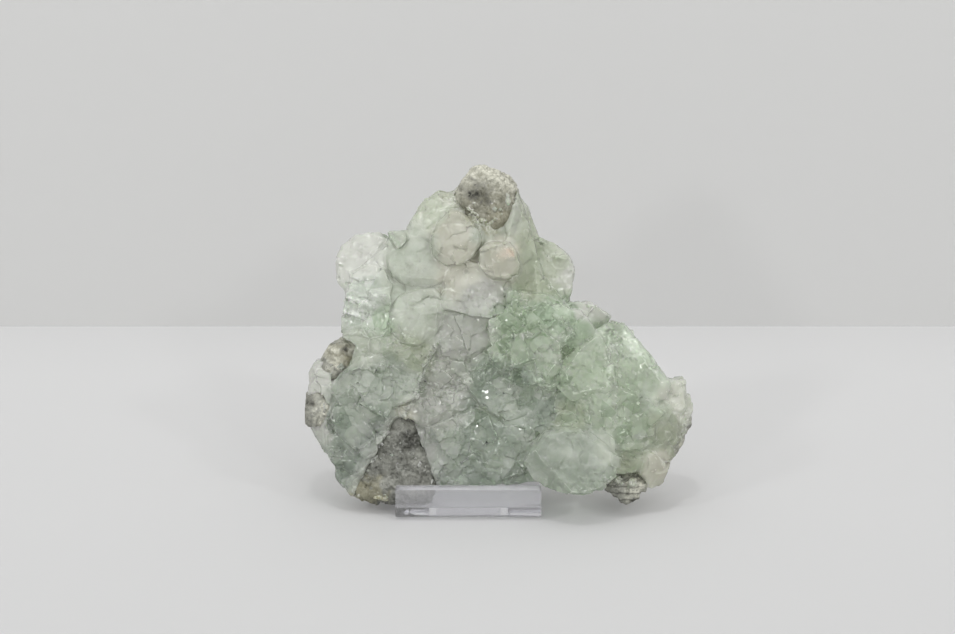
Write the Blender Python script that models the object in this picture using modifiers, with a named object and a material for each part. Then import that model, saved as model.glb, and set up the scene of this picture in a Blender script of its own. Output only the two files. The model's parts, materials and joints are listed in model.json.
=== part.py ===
"""Pale green fluorite specimen, grown on grey host rock, standing on a clear easel of one bent acrylic sheet.

Everything is in metres, +Z up, with the front of the specimen facing -Y. The crystals and the rock are laid
out in the specimen's own upright frame (x to the right, y into the depth, z up its face), and the empty
called specimen_seat leans that frame back and sets it on the easel.
"""

import math
import random

import bmesh
import bpy
from mathutils import Matrix, Vector

MM = 0.001

# Driving dimensions of the specimen. Lengths without MM are in millimetres, as its outlines are.
LEAN_BACK = math.radians(14)
SKIN_GAP = 0.35 * MM  # between crystals and rock, and between the specimen and the easel
ROCK_FRONT = 9.5  # the flat contact between crystals and rock lies this far behind the mean face
FOOT_DEPTH = 2  # how far in front of the mean face the underside starts to rise
UNDERCUT = 0.3  # how much the underside rises for each millimetre of depth
UNDERCUT_REACH = 42  # how far up the face that rise is felt
FLAT_ENOUGH = math.radians(1)
SEED = 41

# A crystal: its flat face, its rim and its back against its outline, and how uneven the corners of each are
FACE_SHARE = 0.95
FACE_JITTER = 0.15
RIM_SHARE = 1.06
RIM_JITTER = 0.3
CHAMFER = 1.1
BACK_SHARE = 0.96
BACK_JITTER = 1.2
CRYSTAL_BACK = 14
CORE_BACK = 13
CLEAVAGES = 3
CLEAVE_SPREAD = 0.6  # how far a cleavage plane turns from the face
CLEAVE_REACH = 0.85  # how far out from the middle it cuts
CLEAVE_VARIES = 0.1

# Broken chips round the rim
CHIP_SIZE = 4.2
CHIP_VARIES = (0.8, 1.4)
CHIP_INSET = 0.89
CHIP_DEPTHS = (6, 12)
CHIP_RISE = 1
CHIP_SIDES = (0.8, 1.25)
CHIP_SPREAD = 1.5
CHIP_REACH = 0.7

# A lump of host rock: its front, its shoulder, its flank and its back against its outline
ROCK_FACE_SHARE = 0.84
ROCK_CHAMFER = 1.6
ROCK_RIM_JITTER = 0.4
ROCK_FLANK_SHARE = 0.96
ROCK_FLANK_DEPTH = 4  # how far in front of the back the flank ends
ROCK_FLANK_JITTER = 1.0
ROCK_BACK_SHARE = 0.72
ROCK_BACK_JITTER = 0.9
OPEN_AHEAD = 12  # how far a pocket for rock that shows is drawn out of the face
OPEN_DEPTH = 3
BURIED = -4  # rock that comes further forward than this shows between the crystals

# A knob on the back of the rock: its sides, and the reach and the depth of each ring of corners
KNOB_SIZE = 9
KNOB_SIDES = 7
KNOB_RINGS = ((1, 12.5), (0.95, 15), (0.45, 17.5))
KNOB_TURN_VARIES = 0.7
KNOB_REACH_VARIES = (0.75, 1.1)
KNOB_DEPTH_VARIES = (-0.6, 1.4)
KNOB_RISE = 2

# Driving dimensions of the easel
EASEL_X = -8.3 * MM
EASEL_WIDTH = 38 * MM
SHEET = 3 * MM
LIP_HEIGHT = 8.6 * MM
LIP_LEAN = math.radians(6)
LEDGE_DEPTH = 26 * MM
PANEL_LENGTH = 44 * MM
PANEL_LEAN = math.radians(17)
BEND_RADIUS = 3.6 * MM  # of the outer face
BEND_STEPS = 5
CORNER_RADIUS = 0.6 * MM
CORNER_STEPS = 3
LEG_WIDTH = 17 * MM
LEG_CLEARANCE = 1.2 * MM
LEG_TOP_SHARE = 0.72  # how far up the panel the leg is bent out of it
LEG_ROOT = 2.5 * MM
LEG_BEND_SHARE = 0.9  # the radius of the leg's bend against its root
LEG_BEND_STEPS = 3
LEG_SPREAD = math.radians(33)
LEG_SPARE = 6 * MM  # what the leg runs past the table before its foot is cut level
WINDOW_INTO_LEDGE = 6 * MM
WINDOW_BELOW = 2 * MM
WINDOW_BEHIND = 6 * MM
TABLE_REACH = 80 * MM
SKIN_CUTS = 5  # how finely a skin is sampled where the specimen is set on the easel

# Crystals: the outline of each face as seen from the front, in mm right of and above the foot of the
# specimen; how far the face stands forward of the mean face; and how steeply it falls away to the right and
# upwards
CRYSTALS = {
    # the upper part, from the summit down
    "summit_shoulder": ([(-24, 72), (-20, 79), (-16, 81.5), (-12, 81), (-7, 78), (-6, 73), (-10, 69),
                         (-18, 68)], -0.5, (-0.05, 0.35)),
    "summit_back": ([(-14, 80), (-9, 84), (-4, 85.5), (2, 83), (6.5, 79), (7.5, 73), (0, 70), (-10, 72)],
                     -4.5, (0.1, 0.2)),
    "blade": ([(1.5, 75), (4.6, 81), (6.2, 77), (8.2, 70.5), (10.4, 63), (13, 54), (9, 52.5), (3.5, 53),
               (2, 64)], 1.5, (0.52, 0.05)),
    "blade_rim": ([(4, 73), (6.3, 78.5), (7.4, 78), (9.2, 72.5), (10.2, 69.5), (7, 68)], -5, (0.4, 0.2)),
    "right_lump": ([(8, 69.4), (12, 68.8), (15.7, 67.4), (18.6, 64.4), (19.6, 61), (18.9, 55.5), (17.2, 52),
                    (10, 51)], -5.5, (0.1, 0.1)),
    "right_low_lump": ([(16, 51), (20, 53), (24, 52.6), (27.4, 50.2), (29.3, 47), (26, 43), (19, 44)], -6,
                        (0.2, 0.25)),
    "dome": ([(-17.8, 69.5), (-16, 73), (-13.3, 76.3), (-10.5, 76), (-7.8, 74), (-5.4, 71), (-5, 68.3),
              (-7, 65), (-10, 63), (-14, 62.6), (-17, 65)], 5, (0.02, 0.16)),
    "rust_dome": ([(-5, 66.3), (-2.2, 68), (1.8, 68.2), (4, 66.4), (5.2, 62.6), (4.4, 60.2), (1.6, 58.8),
                   (-2.2, 59), (-5, 62)], 6.5, (0.1, -0.06)),
    "summit_apron": ([(-8, 76), (-4, 74), (2, 74), (5, 70), (4, 65), (-2, 64), (-6, 67)], 1.5, (0.1, 0.15)),
    "upper_left": ([(-29, 69.6), (-24, 71.2), (-18, 72), (-15.5, 67), (-13.5, 61), (-16, 57.5), (-24, 57),
                    (-28.5, 60), (-30, 65)], 1.6, (-0.05, 0.28)),
    "corner_spike": ([(-29.7, 70.9), (-25, 71.2), (-24, 69), (-26.5, 66.5), (-28.2, 68.3)], 2, (-0.3, 0.5)),
    "white_lump": ([(-42.4, 58), (-43.1, 63), (-41.4, 67.3), (-38, 70), (-32, 70.8), (-27.5, 68), (-28, 60),
                    (-33, 56), (-39, 54.5)], -2.5, (-0.12, 0.18)),
    "ledge_upper": ([(-38, 60.2), (-33.5, 62.4), (-30, 61.2), (-28.6, 56), (-32, 52), (-37, 52.6),
                     (-40.2, 54)], 3, (-0.12, 0.3)),
    "ledge_lower": ([(-40.4, 53.2), (-34, 52.8), (-32, 50), (-34.6, 48), (-41, 49.6)], 1.8, (-0.1, 0.1)),
    "shoulder_left": ([(-41.7, 48.8), (-35, 49.5), (-32, 45), (-36, 39.5), (-41, 41.5), (-39.8, 46)], 0.2,
                       (-0.2, 0.05)),
    "pale_face": ([(-26.5, 54), (-22, 55.4), (-16.6, 55.8), (-15.2, 52), (-15.2, 47), (-17.4, 43.4),
                   (-21, 41.4), (-26, 42), (-28.6, 46), (-28.4, 50)], 4.6, (0.06, 0.12)),
    "green_pocket": ([(-34.5, 52), (-30, 55.4), (-26.5, 55), (-27, 47), (-28, 42.5), (-33, 42), (-36, 46)],
                      2.2, (-0.3, 0.15)),
    "lilac_top": ([(-14.6, 55.4), (-9, 57.2), (-4, 57.5), (0, 55.4), (1.4, 52), (0.5, 49.6), (-2.5, 48.6),
                   (-7, 49), (-11, 50), (-15, 51.4)], 4.2, (0.04, 0.2)),
    "lilac_mid": ([(-15.4, 50), (-10, 50.4), (-4.6, 49.6), (-1.2, 48.6), (-2.2, 44), (-4, 40.8), (-6, 38.2),
                   (-10.5, 37.3), (-15.8, 38.6), (-16.8, 43)], 2.6, (0.03, -0.06)),
    "saddle": ([(-14.5, 61.5), (-9, 63.6), (-4, 61), (2.5, 60.2), (4, 56), (-1, 53.6), (-8, 54.6),
                (-14, 56)], 3.2, (0.05, 0.08)),
    "saddle_left": ([(-25, 59), (-18, 61), (-14, 60), (-13.5, 56), (-16, 54), (-24, 54.5)], 2.4,
                     (0.05, -0.2)),
    # the vivid green group on the right
    "wedge_top": ([(1.2, 49.2), (2.1, 55.7), (4.2, 55.6), (8.6, 53.6), (12.4, 54.4), (16.2, 52), (15, 48.6),
                   (8, 47)], 5.2, (0.12, 0.42)),
    "green_cube": ([(5.6, 49.6), (12, 52.4), (17.2, 50.4), (18.8, 45), (15.4, 41), (9, 41.4), (5.8, 45)], 8,
                    (-0.12, 0.16)),
    "green_prism": ([(15.6, 48), (17.6, 50.9), (21.1, 50.3), (25.2, 44.3), (21.4, 41.6), (18, 40.6),
                     (15.2, 43)], 6.8, (0.3, -0.1)),
    "green_left": ([(-2.6, 47.6), (1.6, 49.6), (6, 47), (7, 41.6), (5.6, 36.6), (2.4, 36.4), (-1.2, 38.6),
                    (-2.4, 42.6)], 7.8, (-0.2, 0.08)),
    "green_mid": ([(5, 42.6), (11, 45), (15.4, 42), (15.8, 37), (13.4, 32), (10, 32), (6.8, 35.4),
                   (4.8, 38)], 9.2, (0.02, -0.16)),
    "green_low": ([(7.4, 36), (13, 38), (16.6, 35.5), (16, 30), (12.6, 29.8), (9.4, 31.6)], 7.6,
                   (0.05, -0.3)),
    "green_face": ([(16, 37), (19.6, 40.4), (26, 44.9), (28.4, 40), (29.6, 34.5), (30.5, 30.5), (24.4, 28),
                    (18.6, 27.6), (15.2, 31)], 7.4, (0.03, 0.2)),
    "right_cube": ([(25, 44.6), (29.4, 47.2), (32.6, 46.4), (38.2, 39.6), (44, 31.8), (43, 28), (37, 25.6),
                    (30, 28.6), (27.5, 35)], 4.8, (0.2, 0.14)),
    "right_glass": ([(20.4, 28.4), (29, 31.4), (36, 28.6), (40.4, 26.4), (40.6, 17), (36.4, 14.4),
                     (30, 14.6), (24.6, 17.8), (20.4, 21.6)], 6.6, (0.14, -0.03)),
    "dark_cube": ([(14.4, 25.2), (20.6, 24.4), (20.6, 19.6), (16.2, 17.8), (13.4, 20)], 4, (-0.1, -0.42)),
    "over_dark_cube": ([(14.2, 25.4), (15, 29.6), (20.6, 29.6), (22.8, 26), (20, 23.8)], 6, (0, 0.16)),
    "right_blade": ([(39.6, 27), (45, 25.2), (46.9, 22), (46.6, 17), (44, 13.2), (41, 11.6), (37.6, 13.6),
                     (39.6, 18)], 2.6, (0.48, 0.02)),
    "beige_block": ([(40, 27.4), (43.4, 31.2), (48.6, 31.8), (48.9, 28), (48.3, 23.6), (44, 23)], 0.6,
                     (0.1, 0.12)),
    "right_tip": ([(47, 27.6), (50.3, 27.2), (50.8, 23.8), (50, 20.4), (46, 20)], -2.5, (0.25, 0)),
    "right_rim": ([(44.6, 24), (49.8, 21.4), (48.2, 15.6), (45.2, 13), (42.6, 15)], -1, (0.3, -0.15)),
    "white_tooth": ([(36.6, 13.4), (38.6, 14.2), (41.4, 11.6), (44.4, 10), (42.8, 5.2), (39.8, 3.6),
                     (36.4, 4.6)], 3.2, (0.22, -0.2)),
    "low_olive": ([(29.6, 14.8), (33, 15.4), (37, 14), (37, 6), (33, 5), (29.6, 6.6), (28.4, 11)], 3.4,
                   (-0.12, -0.25)),
    "cobble": ([(6.8, 10.6), (8.8, 15), (12, 18.7), (17, 19.8), (22.4, 18.8), (26.6, 15.8), (29.8, 12),
                (29.2, 8), (26, 4.4), (20, 3.4), (13, 4.2), (9, 6.8)], 11.5, (0.02, 0.16)),
    "cobble_shelf": ([(19, 20.4), (24.4, 21.8), (29.4, 17), (29.6, 12.8), (25, 14), (20, 17)], 8.6,
                      (0.1, 0.3)),
    # the quiet grey-green plates of the middle
    "plate_upper": ([(-21.4, 35), (-16, 38.2), (-9.6, 37), (-7, 33.4), (-12, 29.4), (-17, 26.6),
                     (-22.6, 27)], 0.8, (-0.04, -0.2)),
    "plate_step": ([(-22.6, 27), (-14, 28.4), (-8.6, 31.6), (-4.4, 27), (-9.6, 23.4), (-16, 20.8),
                    (-21.6, 20)], 2.2, (0.05, 0.16)),
    "plate_mid": ([(-9.4, 35.4), (-4, 39.2), (2, 36.8), (8.4, 33), (11.6, 29), (8.4, 23.6), (2, 21.4),
                   (-5, 25.4), (-8.4, 31)], 2.4, (0.08, 0.06)),
    "plate_right": ([(4.6, 28.4), (10.8, 31.4), (15.4, 29.4), (15.4, 20.4), (11, 18), (6, 20.4), (3.6, 24)],
                     3, (-0.12, 0.05)),
    "plate_green": ([(-19, 20), (-12, 22), (-7.6, 24.2), (-2.4, 22.6), (-1.4, 16), (-5.6, 9.4), (-14, 7.4),
                     (-17.6, 9.6), (-19.4, 15)], 1.8, (0.1, -0.04)),
    "plate_low": ([(-3.6, 22.4), (4, 23.4), (9.4, 19.4), (8.8, 13), (5.6, 7.6), (-1, 5.4), (-6.6, 8.4),
                   (-4.4, 16)], 2.4, (-0.06, -0.05)),
    "plate_foot": ([(-17.4, 9), (-6, 11), (5, 10), (9.4, 7.6), (8, 4.6), (-4, 4), (-16, 3.6), (-18.6, 5)],
                    1, (0, -0.25)),
    "pale_strip": ([(-22.2, 20.4), (-18, 20.4), (-17, 13), (-17.4, 5), (-19.4, 5.4), (-21.4, 12)], 1,
                    (-0.1, 0)),
    "knob": ([(-27.2, 25.2), (-22, 26.4), (-20.8, 21), (-23.6, 19.6), (-27.2, 21.6)], 1.8, (-0.1, 0.1)),
    # the left flank
    "left_olive": ([(-33.4, 42.4), (-28, 44.4), (-20, 42.8), (-15.6, 44), (-18.4, 37.6), (-22, 32.6),
                    (-27.4, 35), (-33.4, 37.6)], 4.2, (0.02, -0.12)),
    "left_bright": ([(-34, 38.6), (-27, 38.4), (-20.8, 34), (-22, 28), (-26.6, 25.6), (-34, 26.6),
                     (-38.4, 31), (-37.4, 36)], 5, (0.1, 0.06)),
    "left_wing": ([(-44.6, 30.4), (-41.4, 34.4), (-37.4, 36.6), (-34.8, 31), (-38, 25.6), (-42, 25.2)], 4,
                   (-0.3, 0.05)),
    "left_grey": ([(-41.4, 43.4), (-36.6, 44), (-32, 41.6), (-32.8, 36.6), (-38, 35.4), (-41, 38)], 2.2,
                   (-0.2, 0.1)),
    "left_fan": ([(-36.6, 27.6), (-28, 27.4), (-26.6, 22), (-29.6, 17.6), (-34, 20), (-37.6, 24)], 3.4,
                  (0.05, -0.2)),
    "left_block": ([(-42.4, 26), (-36, 26), (-33.6, 21), (-32.4, 15.4), (-35, 13), (-38.4, 14.4),
                    (-42.4, 17.6), (-44.4, 22)], 3.4, (-0.08, -0.12)),
    "left_ribs": ([(-38, 14.6), (-32.6, 16), (-28, 20.6), (-29.6, 14.6), (-33.2, 9.4), (-37.6, 8.4)], 2,
                   (0.2, -0.1)),
    "left_dark": ([(-45, 17.4), (-41, 17.8), (-37, 14.6), (-36.4, 8.6), (-40, 5.4), (-44.4, 11)], 1.8,
                   (-0.2, -0.2)),
    "left_foot": ([(-43, 9.4), (-37, 10.4), (-33.2, 5.4), (-35.4, 1.4), (-39, 0.8), (-42.8, 5.6)], 0.8,
                   (-0.15, -0.15)),
    "left_edge": ([(-50.2, 21.4), (-46.6, 23), (-43, 19), (-43, 11), (-46.2, 12.8), (-49.6, 18.6)], 0,
                   (-0.35, 0)),
    "left_tip": ([(-50.2, 27.4), (-46, 28), (-44, 23.4), (-48.6, 19.4), (-51, 20.4), (-50, 24)], -2,
                  (-0.3, 0.1)),
    "left_crust": ([(-50, 33.4), (-48.4, 37), (-44.6, 37), (-41.8, 35), (-43, 29.6), (-44, 26),
                    (-50.2, 27.2)], -0.8, (-0.2, 0.1)),
}

# The solid heart that the crystals grow from: outline, front
CORE = {
    "core_low": ([(-46, 14), (-47, 33), (-38, 42), (-10, 46), (20, 44), (38, 34), (46, 26), (46, 14),
                  (38, 6), (20, 6), (-18, 6), (-38, 4)], 0.4),
    "core_middle": ([(-38, 40), (-38, 60), (-30, 68), (-12, 72), (6, 66), (16, 52), (26, 42), (0, 30),
                     (-30, 32)], 0.4),
    "core_high": ([(-26, 62), (-18, 76), (-8, 80), (3, 79), (7, 68), (8, 55), (-10, 50), (-26, 55)], -1),
}

# The host rock: outline, and front and back depth
ROCK = {
    "rock_low": ([(-46, 12), (-47.6, 22), (-45, 34), (-38, 40), (-20, 46), (10, 46), (30, 40), (42, 29),
                  (47, 22), (45, 13), (36, 4.5), (10, 5.5), (-10, 4.5), (-32, 3.4), (-39, 4)],
                  -ROCK_FRONT, -18),
    "rock_high": ([(-26, 40), (-25, 58), (-17, 72), (-9, 80), (0, 79), (5, 68), (9, 52), (12, 40)],
                   -ROCK_FRONT, -16),
    "summit_rock": ([(-11.6, 80.6), (-9.6, 84.4), (-7.4, 87.8), (-5.2, 88.7), (-2, 87.6), (0.6, 86),
                     (2.9, 84.4), (3.8, 81.6), (2.6, 77.6), (1.8, 74.2), (-1.2, 72.2), (-5.2, 74),
                     (-8.6, 77)], 0.6, -14),
    "window_rock": ([(-36, 4.4), (-31, 12.4), (-28.6, 18.4), (-26.8, 21.4), (-22.8, 19.8), (-21.4, 14),
                     (-19.2, 9), (-17, 3), (-19, 0.6), (-25, -0.5), (-31, 0.2), (-37.6, 0.6)], -0.4, -16),
    "foot_rock": ([(27.4, 3.4), (30.2, 6), (35.6, 6.2), (37.6, 4), (35.8, 0.8), (33, 0), (30.4, 1)], 3,
                   -15),
    "left_rock": ([(-46, 35), (-43.8, 39.2), (-41, 43), (-38, 41), (-40.4, 35), (-44, 32)], -1.8, -15),
    "tip_rock": ([(-50, 26.6), (-47.4, 27.2), (-45, 24), (-47, 20), (-50.6, 20.8), (-49.6, 23.6)], -1.4,
                  -14),
    "right_rock": ([(42, 6), (45.4, 12.6), (49, 17.6), (50, 21), (46, 24), (36, 16), (36, 6)], -6.4, -15),
}

# Where broken crystal edges and lumps of rock stand round the sides and over the back
RIM = [(-30, 70), (-41, 68), (-42, 56), (-41, 46), (-46, 36), (-50, 24), (-46, 13), (-40, 3), (12, 4.4),
       (30, 4), (42, 6), (48, 15), (50, 24), (45, 31), (37, 41), (29, 48), (19, 55), (18, 65), (8, 73),
       (-14, 81), (-22, 76)]
BACK_LUMPS = [(-37, 15), (-38, 30), (-24, 38), (-18, 54), (-10, 68), (-8, 26), (2, 44), (6, 14), (12, 30),
              (24, 38), (26, 20), (37, 13), (38, 26)]


def clear_scene():
    for obj in list(bpy.data.objects):
        bpy.data.objects.remove(obj)


def new_collection(name, helper=False):
    made = bpy.data.collections.new(name)
    made.hide_render = helper
    bpy.context.scene.collection.children.link(made)
    return made


def new_child(collection, name):
    made = bpy.data.collections.new(name)
    collection.children.link(made)
    return made


def finish_material(name, colour, roughness, transmission=0.0, ior=1.5):
    made = bpy.data.materials.new(name)
    made.use_nodes = True
    shader = made.node_tree.nodes["Principled BSDF"]
    shader.inputs["Base Color"].default_value = (*colour, 1)
    shader.inputs["Roughness"].default_value = roughness
    shader.inputs["Metallic"].default_value = 0
    shader.inputs["Transmission Weight"].default_value = transmission
    shader.inputs["IOR"].default_value = ior
    return made


def add_mesh(name, bm, collection, parent, material=None):
    """An object from a bmesh. Without a material it is a helper, which only the booleans read."""
    mesh = bpy.data.meshes.new(name)
    bm.to_mesh(mesh)
    bm.free()
    obj = bpy.data.objects.new(name, mesh)
    if material:
        mesh.materials.append(material)
    else:
        obj.hide_render = True
        obj.display_type = "WIRE"
    collection.objects.link(obj)
    obj.parent = parent
    return obj


def add_empty(name, collection, parent=None):
    made = bpy.data.objects.new(name, None)
    collection.objects.link(made)
    made.parent = parent
    return made


def add_boolean(obj, name, operation, collection):
    cut = obj.modifiers.new(name, "BOOLEAN")
    cut.operation = operation
    cut.operand_type = "COLLECTION"
    cut.collection = collection
    cut.solver = "EXACT"
    return cut


def hull_of(points):
    """A closed convex bmesh round the points."""
    bm = bmesh.new()
    for point in points:
        bm.verts.new(point)
    found = bmesh.ops.convex_hull(bm, input=bm.verts)
    inside = {v for v in found["geom_interior"] + found["geom_unused"] if isinstance(v, bmesh.types.BMVert)}
    bmesh.ops.delete(bm, geom=list(inside), context="VERTS")
    bmesh.ops.dissolve_limit(bm, angle_limit=FLAT_ENOUGH, verts=bm.verts, edges=bm.edges)
    bmesh.ops.recalc_face_normals(bm, faces=bm.faces)
    return bm


def ring(outline, scale, depth, jitter, rng, slope=(0, 0)):
    """The outline at a depth, tilted by the slope and grown or shrunk about its middle. Deep points near the
    foot are lifted, so that the underside lies level once the specimen leans back."""
    centre = sum((Vector(p) for p in outline), Vector((0, 0))) / len(outline)
    points = []
    for corner in outline:
        flat = centre + (Vector(corner) - centre) * scale
        deep = depth + Vector(slope).dot(flat - centre) + rng.uniform(-jitter, jitter)
        lift = UNDERCUT * max(0, deep + FOOT_DEPTH) * max(0, 1 - flat.y / UNDERCUT_REACH)
        points.append(Vector((flat.x, deep, flat.y + lift)) * MM)
    return points


def cleave(bm, count, spread, least, rng):
    """Splits corners off a convex block along flat planes, as fluorite splits."""
    centre = sum((v.co for v in bm.verts), Vector()) / len(bm.verts)
    for _ in range(count):
        normal = Vector((rng.uniform(-spread, spread), -1, rng.uniform(-spread, spread))).normalized()
        reach = max((v.co - centre).dot(normal) for v in bm.verts)
        plane = centre + normal * reach * rng.uniform(least, least + CLEAVE_VARIES)
        everything = bm.verts[:] + bm.edges[:] + bm.faces[:]
        bmesh.ops.bisect_plane(bm, geom=everything, plane_co=plane, plane_no=normal, clear_outer=True)
        rim = [e for e in bm.edges if e.is_boundary]
        if rim:
            bmesh.ops.holes_fill(bm, edges=rim)
    bmesh.ops.recalc_face_normals(bm, faces=bm.faces)


def crystal(outline, front, slope, rng):
    """One crystal: a flat cleaved face, a chamfered rim and a body that runs back into the rock."""
    points = ring(outline, FACE_SHARE, -front, FACE_JITTER, rng, slope)
    points += ring(outline, RIM_SHARE, CHAMFER - front, RIM_JITTER, rng, slope)
    points += ring(outline, BACK_SHARE, CRYSTAL_BACK, BACK_JITTER, rng)
    bm = hull_of(points)
    cleave(bm, CLEAVAGES, CLEAVE_SPREAD, CLEAVE_REACH, rng)
    return bm


def cleaved_cube(place, size, rng):
    """A small cube with some corners split off, turned at random."""
    bm = bmesh.new()
    bmesh.ops.create_cube(bm, size=1)
    bmesh.ops.scale(bm, vec=[size * rng.uniform(*CHIP_SIDES) for _ in range(3)], verts=bm.verts)
    cleave(bm, CLEAVAGES, CHIP_SPREAD, CHIP_REACH, rng)
    turn = Matrix.Rotation(rng.uniform(0, math.pi), 3, "X") @ Matrix.Rotation(rng.uniform(0, math.pi), 3, "Z")
    bmesh.ops.rotate(bm, matrix=turn, verts=bm.verts)
    bmesh.ops.translate(bm, vec=place, verts=bm.verts)
    return bm


def rock_lump(outline, front, back, rng):
    """A broken lump of host rock between two depths."""
    points = ring(outline, ROCK_FACE_SHARE, -front, 0, rng)
    points += ring(outline, 1, ROCK_CHAMFER - front, ROCK_RIM_JITTER, rng)
    points += ring(outline, ROCK_FLANK_SHARE, -back - ROCK_FLANK_DEPTH, ROCK_FLANK_JITTER, rng)
    points += ring(outline, ROCK_BACK_SHARE, -back, ROCK_BACK_JITTER, rng)
    return hull_of(points)


def back_lump(place, rng):
    """A broken knob on the back of the rock."""
    points = []
    for turn in range(KNOB_SIDES):
        angle = math.tau * (turn + rng.random() * KNOB_TURN_VARIES) / KNOB_SIDES
        for reach, depth in KNOB_RINGS:
            away = KNOB_SIZE * reach * rng.uniform(*KNOB_REACH_VARIES)
            x = place[0] + away * math.cos(angle)
            z = place[1] + away * math.sin(angle) + KNOB_RISE
            points.append(Vector((x, depth + rng.uniform(*KNOB_DEPTH_VARIES), z)) * MM)
    return hull_of(points)


def swollen(bm, by):
    """A copy of a convex bmesh with every face moved out."""
    grown = bm.copy()
    grown.normal_update()
    moves = [(v, v.normal * by * v.calc_shell_factor()) for v in grown.verts]
    for v, move in moves:
        v.co += move
    return grown


def drawn_forward(bm, front):
    """The convex bmesh with its front drawn out of the face, so that what it cuts stays open there."""
    ahead = [v.co - Vector((0, OPEN_AHEAD * MM, 0)) for v in bm.verts if v.co.y < (OPEN_DEPTH - front) * MM]
    whole = hull_of([v.co for v in bm.verts] + ahead)
    bm.free()
    return whole


def build_rock(parts, helpers, seat):
    """The host rock, and the swollen copies of its lumps that make room for it in the crystals."""
    rng = random.Random(SEED)
    others = new_child(helpers, "rock_lumps")
    pockets = new_child(helpers, "rock_pockets")
    rock = None
    for name, (outline, front, back) in ROCK.items():
        bm = rock_lump(outline, front, back, rng)
        pocket = swollen(bm, SKIN_GAP)
        if front > BURIED:
            pocket = drawn_forward(pocket, front)
        add_mesh(name + "_pocket", pocket, pockets, seat)
        if rock is None:
            grey = finish_material("grey_host_rock", (0.19, 0.19, 0.16), 0.9)
            rock = add_mesh("matrix_rock", bm, parts, seat, grey)
        else:
            add_mesh(name, bm, others, seat)
    for place in BACK_LUMPS:
        bm = back_lump(place, rng)
        add_mesh("lump_pocket", swollen(bm, SKIN_GAP), pockets, seat)
        add_mesh("back_lump", bm, others, seat)
    add_boolean(rock, "grown_together", "UNION", others)
    return rock, pockets


def build_crystals(parts, helpers, seat, pockets):
    rng = random.Random(SEED)
    others = new_child(helpers, "crystal_blocks")
    pale_green = finish_material("pale_green_fluorite", (0.42, 0.5, 0.4), 0.25, 0.5, 1.434)
    fluorite = None
    for name, (outline, front) in CORE.items():
        points = ring(outline, 1, -front, 0, rng) + ring(outline, 1, CORE_BACK, 0, rng)
        if fluorite is None:
            fluorite = add_mesh("fluorite_crystals", hull_of(points), parts, seat, pale_green)
        else:
            add_mesh(name, hull_of(points), others, seat)
    for name, (outline, front, slope) in CRYSTALS.items():
        add_mesh(name, crystal(outline, front, slope, rng), others, seat)
    middle = Vector((sum(x for x, _ in RIM), sum(z for _, z in RIM))) / len(RIM)
    for corner in RIM:
        flat = middle + (Vector(corner) - middle) * CHIP_INSET
        place = Vector((flat.x, rng.uniform(*CHIP_DEPTHS), flat.y + CHIP_RISE)) * MM
        size = CHIP_SIZE * rng.uniform(*CHIP_VARIES) * MM
        add_mesh("rim_chip", cleaved_cube(place, size, rng), others, seat)
    add_boolean(fluorite, "intergrown", "UNION", others)
    add_boolean(fluorite, "room_for_rock", "DIFFERENCE", pockets)
    return fluorite


def strip(profile, width):
    """An open sheet: a profile of (y, z) points drawn out along X."""
    bm = bmesh.new()
    line = [bm.verts.new((-width / 2, y, z)) for y, z in profile]
    edges = [bm.edges.new(pair) for pair in zip(line, line[1:])]
    drawn = bmesh.ops.extrude_edge_only(bm, edges=edges)["geom"]
    bmesh.ops.translate(bm, vec=(width, 0, 0), verts=[v for v in drawn if isinstance(v, bmesh.types.BMVert)])
    bmesh.ops.recalc_face_normals(bm, faces=bm.faces)
    return bm


def bent(corners, radius, steps):
    """A polyline with each inner corner replaced by an arc."""
    path = [Vector(corners[0])]
    for before, corner, after in zip(corners, corners[1:], corners[2:]):
        into = (Vector(before) - Vector(corner)).normalized()
        out = (Vector(after) - Vector(corner)).normalized()
        half = into.angle(out) / 2
        centre = Vector(corner) + (into + out).normalized() * radius / math.sin(half)
        start = Vector(corner) + into * radius / math.tan(half) - centre
        end = Vector(corner) + out * radius / math.tan(half) - centre
        for step in range(steps + 1):
            path.append(centre + start.slerp(end, step / steps) * start.length)
    path.append(Vector(corners[-1]))
    return path


def add_solidify(obj, thickness):
    wall = obj.modifiers.new("sheet", "SOLIDIFY")
    wall.thickness = thickness
    wall.offset = -1
    wall.use_even_offset = True
    wall.use_quality_normals = True


def block(low, high, turn=None):
    """A box between two corners, turned about X through the origin."""
    bm = bmesh.new()
    bmesh.ops.create_cube(bm, size=1)
    bmesh.ops.scale(bm, vec=[b - a for a, b in zip(low, high)], verts=bm.verts)
    bmesh.ops.translate(bm, vec=[(a + b) / 2 for a, b in zip(low, high)], verts=bm.verts)
    if turn:
        bmesh.ops.rotate(bm, matrix=Matrix.Rotation(turn, 3, "X"), verts=bm.verts)
    return bm


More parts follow.
